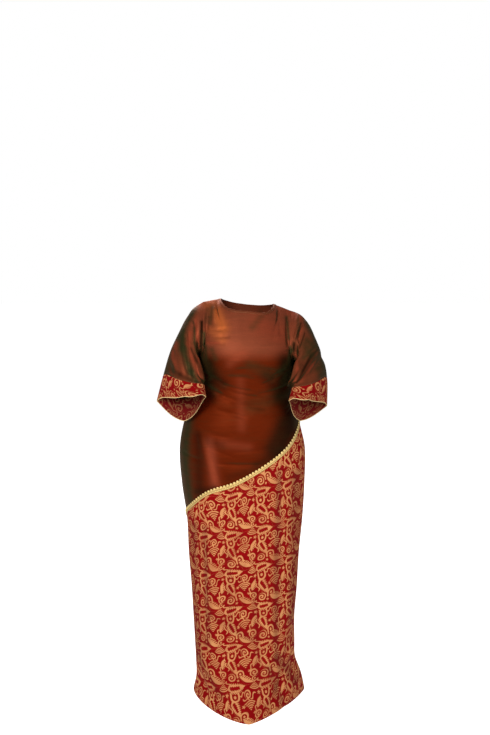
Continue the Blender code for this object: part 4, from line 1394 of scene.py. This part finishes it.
def make_mesh(name, vertices, faces, material, places=None, values=None):
    """A piece of the gown from points and faces, with its cloth places and its point values."""
    mesh = bpy.data.meshes.new(name)
    lowered = vertices - np.array((0.0, 0.0, SHOULDER_HEIGHT))
    mesh.from_pydata(lowered, [], faces)
    if places is not None:
        layer = mesh.uv_layers.new(name="cloth")
        layer.data.foreach_set("uv", places.astype(np.float32).ravel())
    for word, numbers in (values or {}).items():
        coloured = numbers.ndim == 2
        attribute = mesh.attributes.new(word, "FLOAT_COLOR" if coloured else "FLOAT", "POINT")
        attribute.data.foreach_set("color" if coloured else "value", numbers.astype(np.float32).ravel())
    mesh.materials.append(material)
    mesh.shade_smooth()
    mesh.set_sharp_from_angle(angle=math.radians(SHARP_ANGLE))
    mesh.update()
    obj = bpy.data.objects.new(name, mesh)
    bpy.context.scene.collection.objects.link(obj)
    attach(obj, "root")
    return obj


def shell(name, outer, inner, closed, material, places=None, values=None):
    """A thin closed wall between an outer and an inner grid of points. places has one more column
    than a closed grid."""
    columns, rows = outer.shape[:2]
    last = columns if closed else columns - 1
    i, j = np.meshgrid(np.arange(last), np.arange(rows - 1), indexing="ij")
    k = (i + 1) % columns
    outer_ids = np.stack([i * rows + j, k * rows + j, k * rows + j + 1, i * rows + j + 1], -1)
    spots = np.stack([i * rows + j, (i + 1) * rows + j, (i + 1) * rows + j + 1, i * rows + j + 1], -1)
    outer_ids, spots = outer_ids.reshape(-1, 4), spots.reshape(-1, 4)
    size = columns * rows
    faces = [outer_ids, outer_ids[:, ::-1] + size]
    uses = [spots, spots[:, ::-1]]
    run = np.arange(last)
    for row, flip in ((0, False), (rows - 1, True)):
        a, b = run * rows + row, ((run + 1) % columns) * rows + row
        quad = np.stack([a + size, b + size, b, a], -1)
        spot = np.stack([run * rows + row, (run + 1) * rows + row] * 2, -1)[:, [0, 1, 3, 2]]
        faces.append(quad[:, ::-1] if flip else quad)
        uses.append(spot[:, ::-1] if flip else spot)
    if not closed:
        run = np.arange(rows - 1)
        for column, flip in ((0, False), (columns - 1, True)):
            a, b = column * rows + run, column * rows + run + 1
            quad = np.stack([a, b, b + size, a + size], -1)
            spot = np.stack([a, b, b, a], -1)
            faces.append(quad[:, ::-1] if flip else quad)
            uses.append(spot[:, ::-1] if flip else spot)
    faces, uses = np.concatenate(faces), np.concatenate(uses)
    vertices = np.concatenate([outer.reshape(-1, 3), inner.reshape(-1, 3)])
    if places is not None:
        places = places.reshape(-1, 2)[uses.ravel()]
    if values is not None:
        flat = {word: v.reshape((columns * rows,) + v.shape[2:]) for word, v in values.items()}
        values = {word: np.concatenate([v, v]) for word, v in flat.items()}
        # The inner face of the printed cloth gets painted shade
        if "shade" in values:
            values["shade"][columns * rows :] = INNER_PAINTED_SHADE
    return make_mesh(name, vertices, faces.tolist(), material, places, values)


def panel_places(name, points):
    """Where each point of a body panel lies on its flat cloth: across from the middle column, and
    up by length from the slanting seam."""
    back = name.endswith("back")
    across = steps_along(points, 0)
    middle = len(points) // 2
    across = across - across[middle]
    along = steps_along(points, 1)
    seam = 0 if name.startswith("bodice") else -1
    line = slant_height(panel_shares()[::-1 if back else 1])[:, None]
    return np.stack([across, line + along - along[:, seam:][:, :1]], axis=-1)


def tube_places(points):
    """Where each point of a sleeve lies on its flat cloth: round it, and up from the cuff edge."""
    ring = np.concatenate([points, points[:1]])
    across = steps_along(ring, 0)
    along = steps_along(ring, 1)
    return np.stack([across, along[:, -1:] - along], axis=-1)


def turned_away(normals, points):
    """Painted shade and sheen: 0 where the cloth lies flat to the light and 1 where it turns to the side
    or under, unevenly, and where a painted olive shade streak lies."""
    up = normals[..., 2]
    facing = np.abs(normals[..., 1]) * FACING_FRONT
    facing = facing + np.where(up > 0, up * FACING_UP, up * FACING_DOWN)
    drift = 0.0
    for row in RIPPLES:
        ripple = dict(zip(RIPPLE_COLUMNS, row))
        wave = points[..., 0] * ripple["by_x"] + points[..., 2] * ripple["by_height"]
        drift = drift + np.sin(wave + ripple["start"]) * ripple["size"]
    turned = ease((TURN_START - facing) / TURN_SOFTNESS + drift * RIPPLE_REACH)
    return np.maximum(turned * TURN_MOST, streaks(OLIVE_SHADE_STREAKS, points))


def streaks(rows, points):
    """How strongly soft streaks cover the points."""
    row = named(rows, STREAK_COLUMNS)
    bare = np.ones(points.shape[:-1])
    for i in range(len(rows)):
        dx, dh = row["x1"][i] - row["x0"][i], row["height1"][i] - row["height0"][i]
        right, up = points[..., 0] - row["x0"][i], points[..., 2] - row["height0"][i]
        along = np.clip((right * dx + up * dh) / (dx**2 + dh**2), 0, 1)
        away = np.hypot(right - along * dx, up - along * dh)
        bare *= 1 - row["strength"][i] * np.exp(-((away / row["width"][i]) ** 2))
    return 1 - bare


def copper_with_painted_light(name, points):
    """The copper of the taffeta at each point, with painted shade deepening it below the bust and down
    the sleeves, and painted highlights and shade laid on as streaks."""
    height = points[..., 2]
    lower = np.zeros(height.shape)
    if name.startswith("bodice"):
        lower = ease((EMBER_TOP - height) / EMBER_FADE)
    elif name.startswith("sleeve"):
        lower = ease((SLEEVE_TOP - height) / SLEEVE_FADE)
    layers = (
        (lower, EMBER_SHADE if name.startswith("bodice") else SLEEVE_COPPER_SHADE),
        (streaks(ORANGE_HIGHLIGHT_STREAKS, points), ORANGE_HIGHLIGHT),
        (streaks(ROSE_HIGHLIGHT_STREAKS, points), ROSE_HIGHLIGHT),
        (streaks(UMBER_SHADE_STREAKS, points), UMBER_SHADE),
    )
    copper_and_painted_light = np.broadcast_to(np.array(COPPER), height.shape + (4,))
    for part, colour in layers:
        copper_and_painted_light = copper_and_painted_light + (np.array(colour) - copper_and_painted_light) * part[..., None]
    return copper_and_painted_light


def make_cloth(plain, pieces):
    """The panels, sleeves and sleeve bands as thin shells."""
    normals = shared_normals(pieces)
    for name, outer in pieces.items():
        printed = name.startswith("skirt") or "band" in name
        closed = is_tube(name)
        inner = outer - normals[name] * SHOWN_WALL
        if name.startswith("skirt"):
            inner[:, 0, 2] = outer[:, 0, 2]
        if closed:
            places = tube_places(plain[name])
        else:
            places = panel_places(name, plain[name])
        # Painted light and shade: olive where the cloth turns away, the copper's highlight and shade
        # streaks, and shade along the skirt's folds
        values = {
            "shot": turned_away(normals[name], outer),
            "copper_and_painted_light": copper_with_painted_light(name, outer),
            "cuff": np.full(outer.shape[:2], float("band" in name)),
            "shade": streaks(SHADE_STREAKS, outer) * float(name.startswith("skirt")),
        }
        obj = shell(
            f"{name}_cloth",
            outer,
            inner,
            closed,
            PRINT if printed else TAFFETA,
            places,
            values,
        )
        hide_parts(name)


def bead_tree():
    """Sets a rounded bead at each point of a line, turned by the point's turn."""
    tree = bpy.data.node_groups.new("beads_on_line", "GeometryNodeTree")
    face = tree.interface
    face.new_socket("Geometry", in_out="INPUT", socket_type="NodeSocketGeometry")
    for word in ("Length", "Width", "Rise"):
        face.new_socket(word, in_out="INPUT", socket_type="NodeSocketFloat")
    for word in ("Sides", "Rings"):
        face.new_socket(word, in_out="INPUT", socket_type="NodeSocketInt")
    face.new_socket("Material", in_out="INPUT", socket_type="NodeSocketMaterial")
    face.new_socket("Geometry", in_out="OUTPUT", socket_type="NodeSocketGeometry")
    net = Net(tree)
    into, out = net.node("NodeGroupInput"), net.node("NodeGroupOutput")
    ball = net.node("GeometryNodeMeshUVSphere")
    net.wire(ball.inputs["Segments"], into.outputs["Sides"])
    net.wire(ball.inputs["Rings"], into.outputs["Rings"])
    ball.inputs["Radius"].default_value = 0.5
    sizes = net.node("ShaderNodeCombineXYZ")
    for socket, word in zip(sizes.inputs, ("Length", "Width", "Rise")):
        net.wire(socket, into.outputs[word])
    set_out = net.node("GeometryNodeInstanceOnPoints")
    net.wire(set_out.inputs["Points"], into.outputs["Geometry"])
    net.wire(set_out.inputs["Instance"], ball.outputs["Mesh"])
    net.wire(set_out.inputs["Scale"], sizes.outputs[0])
    turn = net.node("GeometryNodeInputNamedAttribute", data_type="FLOAT_VECTOR")
    turn.inputs["Name"].default_value = "turn"
    net.wire(set_out.inputs["Rotation"], turn.outputs["Attribute"])
    real = net.node("GeometryNodeRealizeInstances")
    net.wire(real.inputs[0], set_out.outputs[0])
    round_off = net.node("GeometryNodeSetShadeSmooth")
    net.wire(round_off.inputs["Geometry"], real.outputs[0])
    paint = net.node("GeometryNodeSetMaterial")
    net.wire(paint.inputs["Geometry"], round_off.outputs[0])
    net.wire(paint.inputs["Material"], into.outputs["Material"])
    net.wire(out.inputs["Geometry"], paint.outputs[0])
    return tree


def beads(name, tree, centres, ways, outs, sizes, faces, material):
    """A plain mesh of beads at these centres, lying along their ways and facing out."""
    mesh = bpy.data.meshes.new(name)
    mesh.from_pydata(centres - np.array((0.0, 0.0, SHOULDER_HEIGHT)), [], [])
    turns = []
    for way, out in zip(ways, outs):
        side = np.cross(out, way)
        side = side / np.linalg.norm(side)
        up = np.cross(way, side)
        turns.append(Matrix(np.stack([way, side, up], axis=1).tolist()).to_euler())
    attribute = mesh.attributes.new("turn", "FLOAT_VECTOR", "POINT")
    attribute.data.foreach_set("vector", np.array(turns, np.float32).ravel())
    line = bpy.data.objects.new(f"{name}_line", mesh)
    bpy.context.scene.collection.objects.link(line)
    modifier = line.modifiers.new("beads", "NODES")
    modifier.node_group = tree
    inputs = {item.name: item.identifier for item in tree.interface.items_tree if item.in_out == "INPUT"}
    for word, value in zip(("Length", "Width", "Rise", "Sides", "Rings"), sizes + faces):
        modifier[inputs[word]] = value
    modifier[inputs["Material"]] = material
    seen = line.evaluated_get(bpy.context.evaluated_depsgraph_get())
    made = bpy.data.meshes.new_from_object(seen)
    made.name = name
    bpy.data.objects.remove(line, do_unlink=True)
    relief = made.attributes.new("relief", "FLOAT", "POINT")
    relief.data.foreach_set("value", np.ones(len(made.vertices), np.float32))
    obj = bpy.data.objects.new(name, made)
    bpy.context.scene.collection.objects.link(obj)
    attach(obj, "root")
    return obj


def running_length(points):
    """The length of a line of points up to each of them."""
    return np.concatenate([[0], np.cumsum(np.linalg.norm(np.diff(points, axis=0), axis=1))])


def line_places(points, length, wanted):
    """Places on a line of points at the wanted lengths along it."""
    return np.stack([np.interp(wanted, length, points[:, i]) for i in range(3)], axis=1)


def nearest(part, count):
    """The index, of this many, that lies nearest to each part of a line."""
    return np.clip((part * (count - 1)).round().astype(int), 0, count - 1)


def even_line(points, pitch):
    """Places spaced evenly along a line of points, its way at each, and the part of the line
    before each."""
    length = running_length(points)
    count = max(2, round(length[-1] / pitch))
    wanted = (np.arange(count) + 0.5) * length[-1] / count
    near = pitch * NEAR_SHARE
    place = line_places(points, length, wanted)
    way = line_places(points, length, wanted + near) - line_places(points, length, wanted - near)
    return place, way / np.linalg.norm(way, axis=1, keepdims=True), wanted / length[-1]


def make_braid(tree):
    """Gold braid over the slanting seam: two twisted cords on a flat tape, with beaded picots."""
    for back in (False, True):
        word = "back" if back else "front"
        span = np.linspace(-1, 1, SEAM_SAMPLES)
        line = stand(trunk(around(span, back), slant_height(span)))
        length = running_length(line)
        wanted = np.linspace(0, length[-1], round(length[-1] / BRAID_STEP) + 1)
        share = np.interp(wanted, length, span)
        across = np.linspace(0, 1, BRAID_PROFILE)
        heights = slant_height(share)[:, None] + BRAID_WIDTH * (across - 0.5)[None]
        points = stand(trunk(around(share, back)[:, None], heights))
        points = points[::-1] if back else points
        out = np.cross(np.gradient(points, axis=0), np.gradient(points, axis=1))
        out[[0, -1], :, 1] = 0
        out /= np.linalg.norm(out, axis=-1, keepdims=True)
        run = wanted[:, None]
        relief = np.zeros((len(run), len(across)))
        for centre, lean in BRAID_CORDS:
            round_off = np.clip(1 - ((across - centre) / CORD_HALF) ** 2, 0, 1) ** 0.5
            slope = lean * (across - centre) * CORD_SLOPE
            twist = np.cos(2 * math.pi * (run / CORD_TWIST + slope))
            cord = round_off[None] * (1 - TWIST_DEPTH + TWIST_DEPTH * twist)
            relief = np.maximum(relief, cord)
        rise = BRAID_TAPE + CORD_RISE * relief
        outer = points + out * rise[..., None]
        # The cords' relief also sets the painted shade on the gold between them
        obj = shell(
            f"braid_{word}_cords",
            outer,
            points - out * BRAID_SUNK,
            False,
            GOLD,
            None,
            {"relief": relief},
        )
        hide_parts(f"braid_{word}")
        top, way, part = even_line(points[:, -1], PICOT_PITCH)
        index = nearest(part, len(points))
        up = points[index, -1] - points[index, -2]
        up /= np.linalg.norm(up, axis=1, keepdims=True)
        centres = top + up * PICOT_HEIGHT * 0.5 + out[index, -1] * PICOT_PROUD
        outs = out[index, -1]
        name = f"braid_{word}_picots"
        beads(name, tree, centres, way, outs, PICOT_SIZE, PICOT_FACES, GOLD)


def boxy(wave):
    """A sine or cosine squared off for the binding's section."""
    return np.sign(wave) * np.abs(wave) ** BINDING_SQUARE


def make_binding(pieces, normals, tree):
    """The narrow self binding on the neckline, rounded and edge-stitched."""
    on_neck = np.flatnonzero(np.abs(panel_shares()) <= NECK_POINT + SMALLEST)
    edges, downs, outs = [], [], []
    for name in ("bodice_front", "bodice_back"):
        edge = pieces[name][on_neck, -1]
        down = pieces[name][on_neck, -2] - edge
        down[0] = pieces[name][on_neck[0] - 1, -1] - edge[0]
        down[-1] = pieces[name][on_neck[-1] + 1, -1] - edge[-1]
        down /= np.linalg.norm(down, axis=1, keepdims=True)
        edges.append(edge[:-1])
        downs.append(down[:-1])
        outs.append(normals[name][on_neck[:-1], -1])
    edge, down, out = (np.concatenate(parts) for parts in (edges, downs, outs))
    angle = np.linspace(0, 2 * math.pi, BINDING_SIDES + 1)[:-1]
    half = (BINDING_WIDTH + BINDING_RISE) / 2
    across = boxy(np.cos(angle)) * half
    rise = boxy(np.sin(angle)) * BINDING_ROUND
    middle = edge + down * (BINDING_WIDTH - BINDING_RISE) / 2 + out * BINDING_PROUD
    rings = middle[:, None] + down[:, None] * across[None, :, None]
    rings = rings + out[:, None] * rise[None, :, None]
    count, steps = rings.shape[:2]
    i, j = np.meshgrid(np.arange(count), np.arange(steps), indexing="ij")
    k, m = (i + 1) % count, (j + 1) % steps
    faces = np.stack([i * steps + j, i * steps + m, k * steps + m, k * steps + j], -1).reshape(-1, 4)
    run, turn = np.meshgrid(running_length(edge), angle * 0.001, indexing="ij")
    places = np.stack([run, turn], -1)
    places = places.reshape(-1, 2)[faces.ravel()]
    # The binding takes the taffeta's painted highlights and shade, and an even olive share
    copper_and_painted_light = copper_with_painted_light("neck_binding", rings).reshape(-1, 4)
    values = {"shot": np.full(count * steps, BINDING_OLIVE), "copper_and_painted_light": copper_and_painted_light}
    obj = make_mesh(
        "neck_binding_roll",
        rings.reshape(-1, 3),
        faces.tolist(),
        TAFFETA,
        places,
        values,
    )
    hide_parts("neck_binding")
    proud = BINDING_ROUND + STITCH_SIZE[2] * BINDING_SEAM_PROUD
    line = middle + down * half * BINDING_SEAM + out * proud
    stitches("neck_stitches", tree, line, out, SEWING)


def stitches(name, tree, line, outs, material):
    """A line of sewing stitches along points of the cloth."""
    centres, ways, part = even_line(line, STITCH_PITCH)
    outs = outs[nearest(part, len(line))]
    beads(name, tree, centres, ways, outs, STITCH_SIZE, STITCH_FACES, material)


def make_stitches(pieces, normals, tree):
    """The hem's stitches, and those above each sleeve band's seam."""
    rows = (
        ("hem_stitches", "skirt", ("front", "back"), HEM_STITCH_ROW, PALE_SEWING, "printed_cloth"),
        ("band_stitches", "sleeve", ("left", "right"), BAND_STITCH_ROW, SEWING, "shot_taffeta"),
    )
    for kind, piece, words, row, material, slot in rows:
        for word in words:
            out = normals[f"{piece}_{word}"][:, row]
            line = pieces[f"{piece}_{word}"][:, row] + out * STITCH_SIZE[2] * STITCH_PROUD
            stitches(f"{kind}_{word}", tree, line, out, material)


def make_stage():
    """A plain pale floor, white surroundings, soft lights and the camera."""
    mesh = bpy.data.meshes.new("floor")
    size, low = FLOOR_HALF, -SHOULDER_HEIGHT - FLOOR_DROP
    corners = [(-size, -size, low), (size, -size, low), (size, size, low), (-size, size, low)]
    mesh.from_pydata(corners, [], [(0, 1, 2, 3)])
    material, net, shader = principled("pale_floor", FLOOR_SURFACE)
    seen = net.node("ShaderNodeLightPath").outputs["Is Camera Ray"]
    net.wire(shader.inputs["Emission Strength"], net.times(seen, FLOOR_GLOW))
    mesh.materials.append(material)
    floor = bpy.data.objects.new("floor", mesh)
    bpy.context.scene.collection.objects.link(floor)
    world = bpy.data.worlds.new("white_room")
    bpy.context.scene.world = world
    world.use_nodes = True
    net = Net(world.node_tree)
    room = world.node_tree.nodes["Background"]
    room.inputs["Color"].default_value = (1.0, 1.0, 1.0, 1.0)
    seen = net.node("ShaderNodeLightPath").outputs["Is Camera Ray"]
    net.wire(room.inputs["Strength"], net.math("MULTIPLY_ADD", seen, 1.0 - WORLD_LIGHT, WORLD_LIGHT))
    for name, place, aim, size, power in LIGHTS:
        lamp = bpy.data.lights.new(name, "AREA")
        lamp.shape = "DISK"
        lamp.size = size
        lamp.energy = power
        obj = bpy.data.objects.new(name, lamp)
        obj.location = place
        way = Vector(aim) - Vector(place)
        obj.rotation_euler = way.to_track_quat("-Z", "Y").to_euler()
        bpy.context.scene.collection.objects.link(obj)
    lens = bpy.data.cameras.new("camera")
    lens.lens = CAMERA_LENS
    lens.sensor_width = CAMERA_SENSOR
    camera = bpy.data.objects.new("camera", lens)
    camera.location = CAMERA_PLACE
    camera.rotation_euler = (math.radians(90 - CAMERA_PITCH), 0.0, 0.0)
    bpy.context.scene.collection.objects.link(camera)
    bpy.context.scene.camera = camera
    bpy.context.scene.view_settings.view_transform = "Standard"


TAFFETA = make_taffeta()
PRINT = make_print()
GOLD = make_gold()
SEWING = make_thread("copper_sewing_thread", THREAD)
PALE_SEWING = make_thread("pale_sewing_thread", THREAD_PALE)

PLAIN = plain_pieces()
PRESSED = pressed_pieces(PLAIN)
NORMALS = shared_normals(PRESSED)
BEADS = bead_tree()
make_cloth(PLAIN, PRESSED)
make_braid(BEADS)
make_binding(PRESSED, NORMALS, BEADS)
make_stitches(PRESSED, NORMALS, BEADS)
make_stage()
